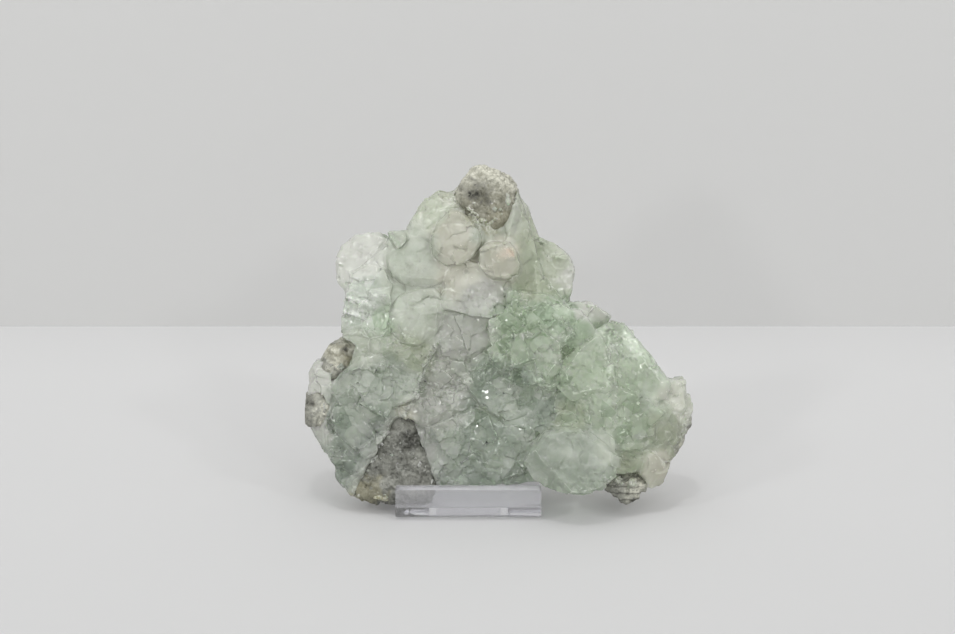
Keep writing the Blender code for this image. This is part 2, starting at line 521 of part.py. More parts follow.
def build_easel(parts, helpers, easel_place):
    """Lip, ledge and panel of one bent sheet, with a tongue cut from the panel and bent back as its leg."""
    lip_top = (-LIP_HEIGHT * math.sin(LIP_LEAN), LIP_HEIGHT)
    panel_top = (LEDGE_DEPTH + PANEL_LENGTH * math.sin(PANEL_LEAN), PANEL_LENGTH * math.cos(PANEL_LEAN))
    sheet = strip(bent([lip_top, (0, 0), (LEDGE_DEPTH, 0), panel_top], BEND_RADIUS, BEND_STEPS), EASEL_WIDTH)
    ends = [v for v in sheet.verts if len(v.link_edges) == 2]
    bmesh.ops.bevel(sheet, geom=ends, offset=CORNER_RADIUS, segments=CORNER_STEPS, affect="VERTICES",
                    profile=0.5)
    acrylic = finish_material("clear_acrylic", (0.9, 0.93, 0.92), 0.05, 1.0, 1.49)
    easel = add_mesh("acrylic_stand", sheet, parts, easel_place, acrylic)
    add_solidify(easel, SHEET)

    windows = new_child(helpers, "easel_windows")
    half = LEG_WIDTH / 2 + LEG_CLEARANCE
    hinge = PANEL_LENGTH * LEG_TOP_SHARE
    window = block((-half, -WINDOW_INTO_LEDGE, -WINDOW_BELOW), (half, WINDOW_BEHIND, hinge), -PANEL_LEAN)
    bmesh.ops.translate(window, vec=(0, LEDGE_DEPTH, 0), verts=window.verts)
    add_mesh("panel_window", window, windows, easel_place)
    add_boolean(easel, "window", "DIFFERENCE", windows)

    legs = new_child(helpers, "easel_leg")
    along = Vector((math.sin(PANEL_LEAN), math.cos(PANEL_LEAN)))
    away = Vector((math.sin(LEG_SPREAD - PANEL_LEAN), -math.cos(LEG_SPREAD - PANEL_LEAN)))
    root = Vector((LEDGE_DEPTH, 0)) + along * (hinge + LEG_ROOT)
    turn_point = Vector((LEDGE_DEPTH, 0)) + along * hinge
    foot = turn_point + away * (turn_point.y / -away.y + LEG_SPARE)
    line = bent([root, turn_point, foot], LEG_ROOT * LEG_BEND_SHARE, LEG_BEND_STEPS)
    leg = add_mesh("leg", strip(line, LEG_WIDTH), legs, easel_place)
    add_solidify(leg, SHEET)
    add_boolean(easel, "leg", "UNION", legs)
    floor = new_child(helpers, "below_the_table")
    table = block((-TABLE_REACH, -TABLE_REACH, -TABLE_REACH), (TABLE_REACH, TABLE_REACH, 0))
    add_mesh("table", table, floor, easel_place)
    add_boolean(easel, "level_foot", "DIFFERENCE", floor)
    return easel


def body_of(vert):
    """Every corner that edges join to this one."""
    found = {vert}
    waiting = [vert]
    while waiting:
        for edge in waiting.pop().link_edges:
            fresh = set(edge.verts) - found
            found |= fresh
            waiting.extend(fresh)
    return found


def drop_loose_chips(mesh):
    """Removes what the cuts left apart from the main body."""
    bm = bmesh.new()
    bm.from_mesh(mesh)
    left = set(bm.verts)
    bodies = []
    while left:
        body = body_of(next(iter(left)))
        left -= body
        bodies.append(body)
    bodies.sort(key=len)
    for body in bodies[:-1]:
        bmesh.ops.delete(bm, geom=list(body), context="VERTS")
    bm.to_mesh(mesh)
    bm.free()


def settled_points(obj):
    """Finishes the object's booleans and gives points spread over its skin in world space."""
    bpy.context.view_layer.update()
    finished = obj.evaluated_get(bpy.context.evaluated_depsgraph_get())
    mesh = bpy.data.meshes.new_from_object(finished)
    mesh.name = obj.name
    drop_loose_chips(mesh)
    obj.modifiers.clear()
    obj.data = mesh
    skin = bmesh.new()
    skin.from_mesh(mesh)
    bmesh.ops.triangulate(skin, faces=skin.faces)
    bmesh.ops.subdivide_edges(skin, edges=skin.edges, cuts=SKIN_CUTS, use_grid_fill=True)
    points = [obj.matrix_world @ v.co for v in skin.verts]
    skin.free()
    return points


def seat_shift(points):
    """How far the leaned specimen moves to stand just above the ledge and just in front of the panel."""
    over = [p for p in points if abs(p.x - EASEL_X) < EASEL_WIDTH / 2 + 1 * MM]
    up = SHEET + SKIN_GAP - min(p.z for p in over)
    leaning = [p for p in over if p.z + up < PANEL_LENGTH]
    along, across = math.sin(PANEL_LEAN), math.cos(PANEL_LEAN)
    spare = min((LEDGE_DEPTH - p.y) * across + (p.z + up) * along for p in leaning)
    back = (spare - SHEET - SKIN_GAP) / across
    return Vector((0, back, up))


def main():
    clear_scene()
    parts = new_collection("fluorite_specimen")
    helpers = new_collection("cutters", helper=True)
    origin = add_empty("row_origin", parts)
    seat = add_empty("specimen_seat", parts, origin)
    seat.rotation_euler.x = -LEAN_BACK
    easel_place = add_empty("easel_place", parts, origin)
    easel_place.location.x = EASEL_X

    rock, pockets = build_rock(parts, helpers, seat)
    fluorite = build_crystals(parts, helpers, seat, pockets)
    easel = build_easel(parts, helpers, easel_place)

    specimen = settled_points(rock) + settled_points(fluorite)
    seat.location = seat_shift(specimen)
    everything = [p + seat.location for p in specimen] + settled_points(easel)
    low = Vector([min(p[axis] for p in everything) for axis in range(3)])
    high = Vector([max(p[axis] for p in everything) for axis in range(3)])
    origin.location = (-(low.x + high.x) / 2, -(low.y + high.y) / 2, 0)


main()
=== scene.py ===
"""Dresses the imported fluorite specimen: cleaved crystals, granular host rock, a clear bent easel, and a light table.

Lengths called *_mm are millimetres. The specimen's own upright frame has x to the right, y into the depth and z up
its face, from the middle of its foot, and leans back with it. Places on the face are given in that frame.
"""
import itertools
import json
import math
import random

import bmesh
import bpy
import numpy as np
from bpy.props import FloatProperty, FloatVectorProperty, PointerProperty
from bpy.types import Operator, Panel, PropertyGroup
from mathutils import Euler, Matrix, Vector, noise
from mathutils.bvhtree import BVHTree

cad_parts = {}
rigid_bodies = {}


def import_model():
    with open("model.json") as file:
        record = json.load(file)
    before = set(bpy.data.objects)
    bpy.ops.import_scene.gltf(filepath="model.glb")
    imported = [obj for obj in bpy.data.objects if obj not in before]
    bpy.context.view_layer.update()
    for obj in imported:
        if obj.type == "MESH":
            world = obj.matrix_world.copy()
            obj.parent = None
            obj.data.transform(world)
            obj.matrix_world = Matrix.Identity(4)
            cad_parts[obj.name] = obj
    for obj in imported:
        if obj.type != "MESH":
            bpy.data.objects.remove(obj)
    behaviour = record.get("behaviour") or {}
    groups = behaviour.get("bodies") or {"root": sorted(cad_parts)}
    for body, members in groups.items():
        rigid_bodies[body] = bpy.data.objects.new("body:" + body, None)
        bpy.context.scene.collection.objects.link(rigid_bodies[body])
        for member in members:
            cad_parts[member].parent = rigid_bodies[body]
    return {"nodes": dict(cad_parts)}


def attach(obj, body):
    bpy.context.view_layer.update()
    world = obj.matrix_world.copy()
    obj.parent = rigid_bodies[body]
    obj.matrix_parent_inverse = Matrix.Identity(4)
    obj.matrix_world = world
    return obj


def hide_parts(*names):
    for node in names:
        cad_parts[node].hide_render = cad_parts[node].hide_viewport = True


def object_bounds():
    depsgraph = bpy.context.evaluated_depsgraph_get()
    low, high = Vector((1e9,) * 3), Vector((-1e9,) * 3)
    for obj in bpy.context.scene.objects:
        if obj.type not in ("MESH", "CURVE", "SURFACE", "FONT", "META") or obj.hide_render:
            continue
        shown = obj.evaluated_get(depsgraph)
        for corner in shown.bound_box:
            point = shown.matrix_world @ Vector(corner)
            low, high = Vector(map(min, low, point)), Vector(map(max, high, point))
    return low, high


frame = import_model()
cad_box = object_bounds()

bl_info = {
    "name": "Fluorite Specimen on an Easel",
    "version": (1, 0, 0),
    "blender": (4, 5, 0),
    "location": "View3D > Sidebar > Fluorite",
    "description": "Grows the crystals, breaks the rock, polishes the easel and sets the light table",
    "category": "Add Mesh",
}

MM = 0.001

# Where the CAD's upright frame stands in the row frame
FOOT = Vector((0.12, -13.8, 3.16)) * MM
LEAN = math.radians(14)
TO_WORLD = Matrix.Translation(FOOT) @ Matrix.Rotation(-LEAN, 4, "X")
TO_FACE = TO_WORLD.inverted()

# The camera that fits the photograph
SENSOR_MM = 36
LENS_MM = 100
CAMERA_DISTANCE = 0.695
CAMERA_TILT = math.radians(15)
CENTRE_ON_FACE = Vector((-5.9, 0, 48.7)) * MM  # what the middle of the photograph shows


def linear(hex_colour):
    """An sRGB hex colour as linear red, green and blue."""
    parts = [int(hex_colour[i:i + 2], 16) / 255 for i in (1, 3, 5)]
    return tuple(p / 12.92 if p <= 0.04045 else ((p + 0.055) / 1.055) ** 2.4 for p in parts)


# Finishes of the fluorite: body colour, clarity from milky (0) to glassy (1), and how frosted its faces are
FINISHES = {
    "green_glass": ("#E8F2E1", 0.75, 0.02),
    "deep_green": ("#DCEAD4", 0.75, 0.02),
    "mint": ("#C6CBBE", 0.45, 0.06),
    "ice": ("#EAEDE7", 0.62, 0.02),
    "milk": ("#D2D3CC", 0.3, 0.16),
    "cream": ("#C1C0B2", 0.25, 0.2),
    "lilac": ("#D2D2CD", 0.5, 0.1),
    "grey_green": ("#C5CEC4", 0.72, 0.03),
    "sage": ("#C6CDC2", 0.62, 0.04),
    "ash": ("#D1D2CC", 0.6, 0.07),
    "primrose": ("#CBD0BF", 0.4, 0.1),
    "olive": ("#CAD0BB", 0.6, 0.04),
    "beige": ("#C7C9BD", 0.2, 0.24),
}

# Where each finish shows: across and up the face in mm, how far it reaches, and the finish
ZONES = (
    (-17, 77, 6, "primrose"), (-23, 66, 7, "mint"), (-28, 58, 5, "mint"), (-36, 64, 8, "milk"), (-35, 56, 5, "ice"),
    (-37, 51, 4, "ice"), (-31, 48, 4, "deep_green"), (-22, 49, 6, "mint"), (-12, 70, 7, "cream"),
    (-4, 72, 5, "mint"), (0, 64, 5, "cream"), (-10, 60, 5, "cream"), (-5, 53, 5, "lilac"), (-9, 44, 6, "ash"),
    (7, 66, 4, "olive"), (9, 58, 5, "olive"), (15, 62, 5, "primrose"), (18, 61, 4, "milk"), (23, 50, 4, "milk"),
    (4, 47, 6, "deep_green"), (11, 47, 6, "deep_green"), (19, 46, 5, "deep_green"), (2, 40, 5, "green_glass"),
    (12, 38, 6, "green_glass"), (23, 37, 6, "green_glass"), (35, 37, 8, "green_glass"), (31, 24, 8, "green_glass"),
    (18, 22, 4, "olive"), (12, 25, 4, "grey_green"), (42, 19, 5, "olive"), (45, 28, 4, "beige"),
    (48, 22, 3, "beige"), (40, 9, 4, "cream"), (33, 10, 4, "olive"), (18, 12, 10, "sage"),
    (28, 15, 4, "mint"), (0, 32, 7, "grey_green"), (-13, 34, 6, "ash"), (-16, 24, 6, "ash"),
    (-5, 16, 10, "grey_green"), (-20, 12, 3, "lilac"), (-24, 23, 3, "cream"), (-23, 39, 5, "olive"),
    (-29, 33, 6, "sage"), (-40, 31, 5, "sage"), (-37, 40, 5, "mint"), (-38, 20, 6, "grey_green"),
    (-40, 10, 5, "grey_green"), (-47, 31, 4, "milk"), (-48, 19, 4, "lilac"), (-36, 2, 3, "olive"),
)

# Patches of small crystals: name, middle, half width, half height, how many, least and greatest size in mm, and how
# they stand: steps lie nearly flush with the face, corners point out of it, and sugar is strewn any way round
GROWTHS = (
    ("middle_glass", -3, 17, 13, 11, 9, 4.0, 9.0, "step"),
    ("middle_steps", -14, 29, 8, 7, 4, 4.0, 8.0, "step"),
    ("lilac_steps", -8, 46, 8, 8, 3, 5.0, 9.0, "step"),
    ("left_mass", -31, 36, 9, 11, 6, 4.0, 9.0, "step"),
    ("left_foot", -38, 13, 7, 10, 5, 4.0, 8.0, "step"),
    ("left_rim", -46, 27, 4, 9, 5, 2.0, 4.5, "step"),
    ("stepped_block", -36, 55, 5, 7, 3, 5.0, 8.0, "step"),
    ("right_edge", 45, 20, 4, 7, 4, 2.0, 5.0, "step"),
    ("cobble", 18, 12, 10, 7, 2, 5.0, 8.0, "step"),
    ("foot_blades", 33, 9, 5, 5, 4, 3.0, 6.0, "step"),
    ("green_crown", 9, 46, 12, 7, 14, 3.0, 7.0, "corner"),
    ("green_skirt", 8, 36, 9, 5, 9, 2.5, 5.5, "corner"),
    ("right_window", 31, 22, 9, 6, 8, 2.5, 6.0, "corner"),
    ("left_glass", -34, 32, 7, 8, 5, 2.5, 5.5, "corner"),
    ("middle_top", 5, 31, 8, 5, 5, 2.5, 5.0, "corner"),
    ("sparkling_band", -16, 29.5, 6, 2.5, 60, 0.5, 1.3, "sugar"),
    ("matrix_top", -29, 12, 3.5, 5, 16, 0.4, 0.9, "sugar"),
)

# Seams strewn with sugar: from, to, spread, how many, least and greatest size in mm
SEAMS = (
    ((-37, 3), (-28, 22), 0.7, 40, 0.4, 1.0),
    ((-22.5, 13), (-17, 4), 0.6, 26, 0.4, 0.9),
    ((-14, 81), (-7, 76), 0.9, 26, 0.5, 1.3),
    ((-7, 76), (-2, 72.5), 0.9, 22, 0.5, 1.3),
    ((-2, 72.5), (3, 80), 0.9, 22, 0.5, 1.3),
    ((-45, 34), (-40, 37), 0.6, 10, 0.4, 1.0),
    ((-46.5, 27.5), (-45, 20), 0.6, 12, 0.4, 1.0),
    ((-15.5, 43.5), (-27, 20.5), 0.4, 60, 0.4, 1.1),
    ((-14, 29), (-4, 36), 0.9, 40, 0.5, 1.2),
    ((50, 22), (43.5, 9.5), 0.6, 30, 0.6, 1.5),
    ((27, 6), (37, 6), 0.8, 30, 0.6, 1.7),
    ((-39, 2), (-30, 1.5), 0.7, 24, 0.6, 1.4),
    ((-2, 39), (13, 30), 0.6, 34, 0.5, 1.3),
)
GROWTH_SEED = 7
MOST_TRIANGLES = 196000  # a piece stays under 200,000

# Stains and flaws, and some lines of painted highlight and painted shade: from, to, half width in mm, colour, and how
# strongly it covers the crystal
STAINS_AND_PAINTED_LIGHT = (
    ((2.3, 65.8), (2.9, 65.6), 0.7, "#A9825E", 0.7),
    ((0.8, 65.2), (4.0, 66.4), 1.4, "#CFC1B0", 0.5),
    ((-11.2, 56.6), (-10.6, 56.2), 0.6, "#74756A", 0.7),
    ((-7.9, 54.8), (-7.5, 54.2), 0.5, "#74756A", 0.7),
    ((-9.2, 61.2), (-8.6, 60.6), 0.5, "#84857A", 0.6),
    ((-2.2, 72.8), (0.6, 75.2), 1.7, "#8E8D70", 0.6),
    ((-30.0, 70.3), (-27.2, 68.2), 0.8, "#8FA088", 0.6),
    ((-15.5, 43.5), (-19.5, 35.5), 0.35, "#7E827A", 0.6),
    ((-19.5, 35.5), (-22.0, 28.0), 0.35, "#7E827A", 0.7),
    ((-22.0, 28.0), (-27.0, 20.5), 0.4, "#7E827A", 0.7),
    # Painted shade in the recess between the upper domes and the pale middle face
    ((-20.0, 57.2), (-15.0, 56.6), 0.7, "#A6ABA0", 0.6),
    ((-39.0, 1.2), (-30.5, 1.0), 1.3, "#A79C76", 0.7),
    ((-45.5, 24.5), (-50.0, 26.0), 1.4, "#8B8C80", 0.6),
    ((0.0, 38.6), (11.5, 31.2), 0.5, "#8CA088", 0.5),
    ((49.5, 21.0), (44.5, 10.5), 0.8, "#77776A", 0.6),
    ((-28.0, 20.0), (-37.0, 4.0), 2.6, "#8B8D84", 0.85),
    ((-26.5, 20.0), (-17.5, 5.0), 1.9, "#8D8F87", 0.85),
    ((-14.0, 80.5), (-7.0, 75.0), 2.0, "#A3A494", 0.7),
    ((-7.0, 75.0), (-2.0, 71.5), 1.6, "#98987F", 0.7),
    ((27.5, 5.5), (37.0, 5.5), 1.2, "#9A9B90", 0.7),
    ((16.5, 22.0), (19.5, 22.5), 1.9, "#7F9478", 0.55),
    ((21.0, 46.5), (25.0, 46.0), 2.0, "#8FA086", 0.5),
    ((40.5, 25.5), (43.0, 24.5), 1.6, "#8C9C84", 0.5),
    # The right crystal's bevel strip painted paler as if lit, with painted highlights along its edge and between its
    # two faces
    ((33.5, 45.5), (44.0, 32.0), 1.1, "#C2CCBC", 0.45),
    ((32.5, 44.0), (42.5, 31.0), 0.2, "#F0F3EC", 0.5),
    ((28.5, 44.5), (28.0, 31.0), 0.25, "#E6EBE2", 0.4),
    # Painted highlights along the two step edges of the stepped block
    ((-39.5, 53.5), (-32.7, 52.3), 0.4, "#F4F6F2", 0.7),
    ((-41.0, 50.3), (-37.0, 49.0), 0.4, "#F4F6F2", 0.7),
)

# Large faces that stayed whole: from, to, and half width in mm
SMOOTH_FACES = (
    ((33.5, 45.5), (44, 32), 2.2), ((3, 71), (8, 57), 3.4), ((13, 12), (24, 12), 5.5), ((36, 42), (36, 34), 4),
    ((22, 40), (24, 32), 3.5), ((41, 22), (44, 16), 2.5), ((-11, 45), (-6, 42), 4),
)

# Where rock comes to the front: across, up and reach in mm. Behind the crystals it is guessed as pale quartz.
BARE_ROCK = ((-27, 10, 15), (-3, 79, 9), (-43, 38, 6), (-49, 24, 6), (48, 15, 9), (32, 3, 7))

# Black and brown spots on it: across, up and reach in mm
BLACK_PATCHES = (
    (-24, 16.5, 2.8), (-5.5, 81, 3.4), (-40.6, 40.0, 1.2), (-49.4, 26.0, 1.2),
    (33.3, 2.6, 0.8), (34.6, 0.8, 1.2),
)
BROWN_PATCHES = ((-42, 39, 3.5), (-1, 74.5, 4), (-36, 2, 5))


def add_node(tree, kind, settings=None, inputs=None):
    """Adds a node, with its settings and with a number, a colour or another node's socket on each named input."""
    made = tree.nodes.new(kind)
    for name, value in (settings or {}).items():
        setattr(made, name, value)
    for socket, value in (inputs or {}).items():
        if isinstance(value, bpy.types.NodeSocket):
            tree.links.new(value, made.inputs[socket])
        else:
            made.inputs[socket].default_value = value
    return made


def new_material(name):
    made = bpy.data.materials.new(name)
    made.use_nodes = True
    tree = made.node_tree
    return made, tree, tree.nodes["Principled BSDF"], tree.nodes["Material Output"]


def welded_copy(node):
    """A bmesh of a CAD node with its loose triangles joined."""
    bm = bmesh.new()
    bm.from_mesh(frame["nodes"][node].data)
    bmesh.ops.remove_doubles(bm, verts=bm.verts, dist=0.001 * MM)
    return bm


def add_piece(name, bm, material, node):
    """Makes the finished mesh a piece that rides on the root body in place of a CAD node."""
    mesh = bpy.data.meshes.new(name)
    bm.to_mesh(mesh)
    bm.free()
    mesh.materials.append(material)
    piece = bpy.data.objects.new(name, mesh)
    bpy.context.scene.collection.objects.link(piece)
    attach(piece, "root")
    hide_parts(node)
    return piece


def cleaved_cube(size, stretch, corners, rng):
    """A cube with some corners split off along the planes in which fluorite cleaves."""
    bm = bmesh.new()
    bmesh.ops.create_cube(bm, size=1)
    bmesh.ops.scale(bm, vec=[size * s * rng.uniform(0.85, 1.15) for s in stretch], verts=bm.verts)
    for signs in rng.sample(list(itertools.product((-1, 1), repeat=3)), corners):
        normal = Vector(signs).normalized()
        reach = max(v.co.dot(normal) for v in bm.verts)
        everything = bm.verts[:] + bm.edges[:] + bm.faces[:]
        plane = normal * reach * rng.uniform(0.62, 0.9)
        bmesh.ops.bisect_plane(bm, geom=everything, plane_co=plane, plane_no=normal, clear_outer=True)
        bmesh.ops.holes_fill(bm, edges=[e for e in bm.edges if e.is_boundary])
    bmesh.ops.recalc_face_normals(bm, faces=bm.faces)
    return bm


def growth_spots(rng):
    """Each small crystal as its place across and up the face, size in mm and way of standing."""
    for _, across, up, half_width, half_height, count, least, most, habit in GROWTHS:
        for _ in range(count):
            spot = (across + rng.uniform(-1, 1) * half_width, up + rng.uniform(-1, 1) * half_height)
            yield *spot, least + (most - least) * rng.random() ** 1.6, habit
    for start, end, spread, count, least, most in SEAMS:
        for _ in range(count):
            along = Vector(start).lerp(Vector(end), rng.random())
            yield along.x + rng.gauss(0, spread), along.y + rng.gauss(0, spread), rng.uniform(least, most), "sugar"


def grow_on(base, scale, rng):
    """The small crystals, each sunk where a ray from the front meets the base, or sugar also on the bare rock."""
    both = base.copy()
    both.from_mesh(bpy.data.objects["host_rock"].data)
    both.faces.index_update()
    skin = BVHTree.FromBMesh(both)
    both.free()
    ahead = TO_WORLD.to_3x3() @ Vector((0, 1, 0))
    corner_out = Euler((math.radians(35.3), math.radians(45), 0)).to_matrix()
    grown = bpy.data.collections.new("growths")
    for index, (across, up, size, habit) in enumerate(growth_spots(rng)):
        spin = Matrix.Rotation(rng.gauss(0, 0.5), 3, "Z")
        tilt = Euler([rng.gauss(0, 0.07 if habit == "step" else 0.3) for _ in range(3)]).to_matrix()
        stretch = (1, rng.uniform(0.6, 1.3), 1)
        corners = rng.randint(0, 3)
        bm = cleaved_cube(size * scale * MM, stretch, corners, rng)
        proud = {"step": rng.uniform(-0.49, -0.45), "corner": rng.uniform(-0.55, -0.35), "sugar": -0.1}[habit]
        reach = 0.7 * size
        beside = [(across + x, up + z) for x, z in ((0, 0), (reach, 0), (-reach, 0), (0, reach), (0, -reach))]
        hits = [skin.ray_cast(TO_WORLD @ (Vector((x, -40, z)) * MM), ahead) for x, z in beside]
        place, normal, met = hits[0][:3]
        # One at the outline, or on a face seen edge on, would stick out of the silhouette
        outside = any(hit[0] is None for hit in hits) or normal.dot(ahead) > -0.45
        if outside or habit != "sugar" and met >= len(base.faces):
            bm.free()
            continue
        turn = normal.to_track_quat("Z", "Y").to_matrix() @ spin @ tilt
        if habit != "step":
            turn = turn @ corner_out
        bmesh.ops.rotate(bm, matrix=turn, verts=bm.verts)
        bmesh.ops.translate(bm, vec=place + normal * size * proud * MM, verts=bm.verts)
        mesh = bpy.data.meshes.new(f"growth_{index}")
        bm.to_mesh(mesh)
        bm.free()
        grown.objects.link(bpy.data.objects.new(mesh.name, mesh))
    return grown


def joined(base, others):
    """The base and everything in the collection as one skin."""
    mesh = bpy.data.meshes.new("base")
    base.to_mesh(mesh)
    base.free()
    holder = bpy.data.objects.new("base", mesh)
    bpy.context.scene.collection.objects.link(holder)
    union = holder.modifiers.new("union", "BOOLEAN")
    union.operation = "UNION"
    union.operand_type = "COLLECTION"
    union.collection = others
    union.solver = "MANIFOLD"
    bpy.context.view_layer.update()
    finished = holder.evaluated_get(bpy.context.evaluated_depsgraph_get())
    bm = bmesh.new()
    bm.from_mesh(finished.to_mesh())
    finished.to_mesh_clear()
    for helper in (holder, *others.objects):
        bpy.data.objects.remove(helper)
    bpy.data.collections.remove(others)
    return bm


def refine(bm, longest):
    """Splits every edge over the length that longest gives for its middle."""
    bmesh.ops.triangulate(bm, faces=bm.faces)
    for _ in range(9):
        split = [e for e in bm.edges if e.calc_length() > longest((e.verts[0].co + e.verts[1].co) / 2)]
        if not split:
            break
        bmesh.ops.subdivide_edges(bm, edges=split, cuts=1)
        bmesh.ops.triangulate(bm, faces=[f for f in bm.faces if len(f.verts) > 3])


def fill_valleys(bm, soft_body, rings):
    """Softens the valleys where crystals grew into each other, widely in a soft body, and tells which they are."""
    low = np.zeros(len(bm.verts), bool)
    for edge in bm.edges:
        if len(edge.link_faces) == 2 and not edge.is_convex and edge.calc_face_angle() > math.radians(18):
            low[[v.index for v in edge.verts]] = True
    joints = low.copy()
    ends = np.array([[v.index for v in edge.verts] for edge in bm.edges])
    for ring in range(rings):
        touched = low[ends].any(axis=1)
        low[ends[touched]] = True
        if ring == 0:
            narrow = low.copy()
    for passes, mask in ((2, narrow), (rings * rings, low & soft_body)):
        soft = [v for v, is_soft in zip(bm.verts, mask) if is_soft]
        for _ in range(passes):
            bmesh.ops.smooth_vert(bm, verts=soft, factor=0.5, use_axis_x=True, use_axis_y=True, use_axis_z=True)
    return joints


def coordinates(bm):
    return np.array([v.co for v in bm.verts])


def hashed(cells, seed):
    """Three random numbers from 0 to 1 for each row of whole numbers."""
    keys = cells @ np.array([[12.9898, 39.3467, 73.156], [78.233, 11.135, 52.235], [37.719, 83.155, 9.151]])
    return np.modf(np.abs(np.sin(keys + seed)) * 43758.5453)[0]


def facets(points, size, steepness, seed):
    """Heights of a skin of flat facets, each tilted its own way, over cells of the given size."""
    base = np.floor(points / size)
    nearest = np.full(len(points), np.inf)
    height = np.zeros(len(points))
    for step in itertools.product((-1, 0, 1), repeat=3):
        cells = base + step
        heart = (cells + 0.1 + 0.8 * hashed(cells, seed)) * size
        apart = points - heart
        distance = (apart ** 2).sum(axis=1)
        tilt = (hashed(cells, seed + 5) - 0.5) * 2 * steepness
        closer = distance < nearest
        nearest = np.where(closer, distance, nearest)
        height = np.where(closer, (apart * tilt).sum(axis=1), height)
    return height


def fractal(points, size, octaves, seed):
    """Smooth noise from about -1 to 1, whose largest features are the given size."""
    shift = Vector((seed * 3.1, seed * 1.7, seed * 2.3))
    return np.array([noise.fractal(Vector(p) / size + shift, 0.9, 2.1, octaves) for p in points])


def face_coordinates(points):
    """World points in the specimen's upright frame, in mm."""
    matrix = np.array(TO_FACE)
    return (points @ matrix[:3, :3].T + matrix[:3, 3]) / MM


def move_out(bm, distances):
    bm.normal_update()
    for v, distance in zip(bm.verts, distances):
        v.co += v.normal * distance


def edge_wear(bm, sharp):
    """1 on the corners of sharp outer edges, and 0 elsewhere."""
    worn = np.zeros(len(bm.verts))
    for edge in bm.edges:
        if len(edge.link_faces) == 2 and edge.is_convex and edge.calc_face_angle() > sharp:
            worn[edge.verts[0].index] = 1
            worn[edge.verts[1].index] = 1
    return worn


def covering(flat, start, end, reach):
    """How fully a stain from start to end covers each point: 1 inside it, fading to 0 past its half width."""
    begin = np.array(start)
    along = np.array(end) - begin
    share = np.clip(((flat - begin) @ along) / (along @ along), 0, 1)
    away = np.linalg.norm(flat - begin - share[:, None] * along, axis=1)
    return np.clip(1.5 - away / reach, 0, 1)


def finish_values(points):
    """Colour, clarity and frost at each point, from the zones, stains, painted highlights and painted shade round it.
    """
    warp = 2.2 * np.stack([fractal(points, 6, 2, seed) for seed in (3, 4)], axis=1)
    flat = points[:, [0, 2]] + warp
    spread = np.array([((flat[:, 0] - u) ** 2 + (flat[:, 1] - v) ** 2) / reach ** 2 for u, v, reach, _ in ZONES])
    weight = 1 / (0.08 + spread) ** 3.2
    weight /= weight.sum(axis=0)
    values = weight.T @ np.array([(*linear(FINISHES[z[3]][0]), *FINISHES[z[3]][1:]) for z in ZONES])
    ragged = points[:, [0, 2]] + np.stack([fractal(points, 2, 4, seed) for seed in (12, 13)], axis=1)
    in_front = np.clip((12 - points[:, 1]) / 3, 0, 1)
    for start, end, reach, colour, strength in STAINS_AND_PAINTED_LIGHT:
        cover = (strength * in_front * covering(ragged, start, end, reach))[:, None]
        values = values + cover * (np.array([*linear(colour), 0.1, 0.35]) - values)
    return values


def write_attributes(piece, **columns):
    for name, column in columns.items():
        piece.data.attributes.new(name, "FLOAT", "POINT").data.foreach_set("value", column)


def thin_out(piece):
    """Collapses triangles that the flat facets can spare, where the piece has more than MOST_TRIANGLES."""
    collapse = piece.modifiers.new("collapse", "DECIMATE")
    collapse.ratio = min(1, MOST_TRIANGLES / len(piece.data.polygons))
    bpy.context.view_layer.update()
    full = piece.data
    thinned = bpy.data.meshes.new_from_object(piece.evaluated_get(bpy.context.evaluated_depsgraph_get()))
    piece.modifiers.clear()
    piece.data = thinned
    bpy.data.meshes.remove(full)
    thinned.name = piece.name


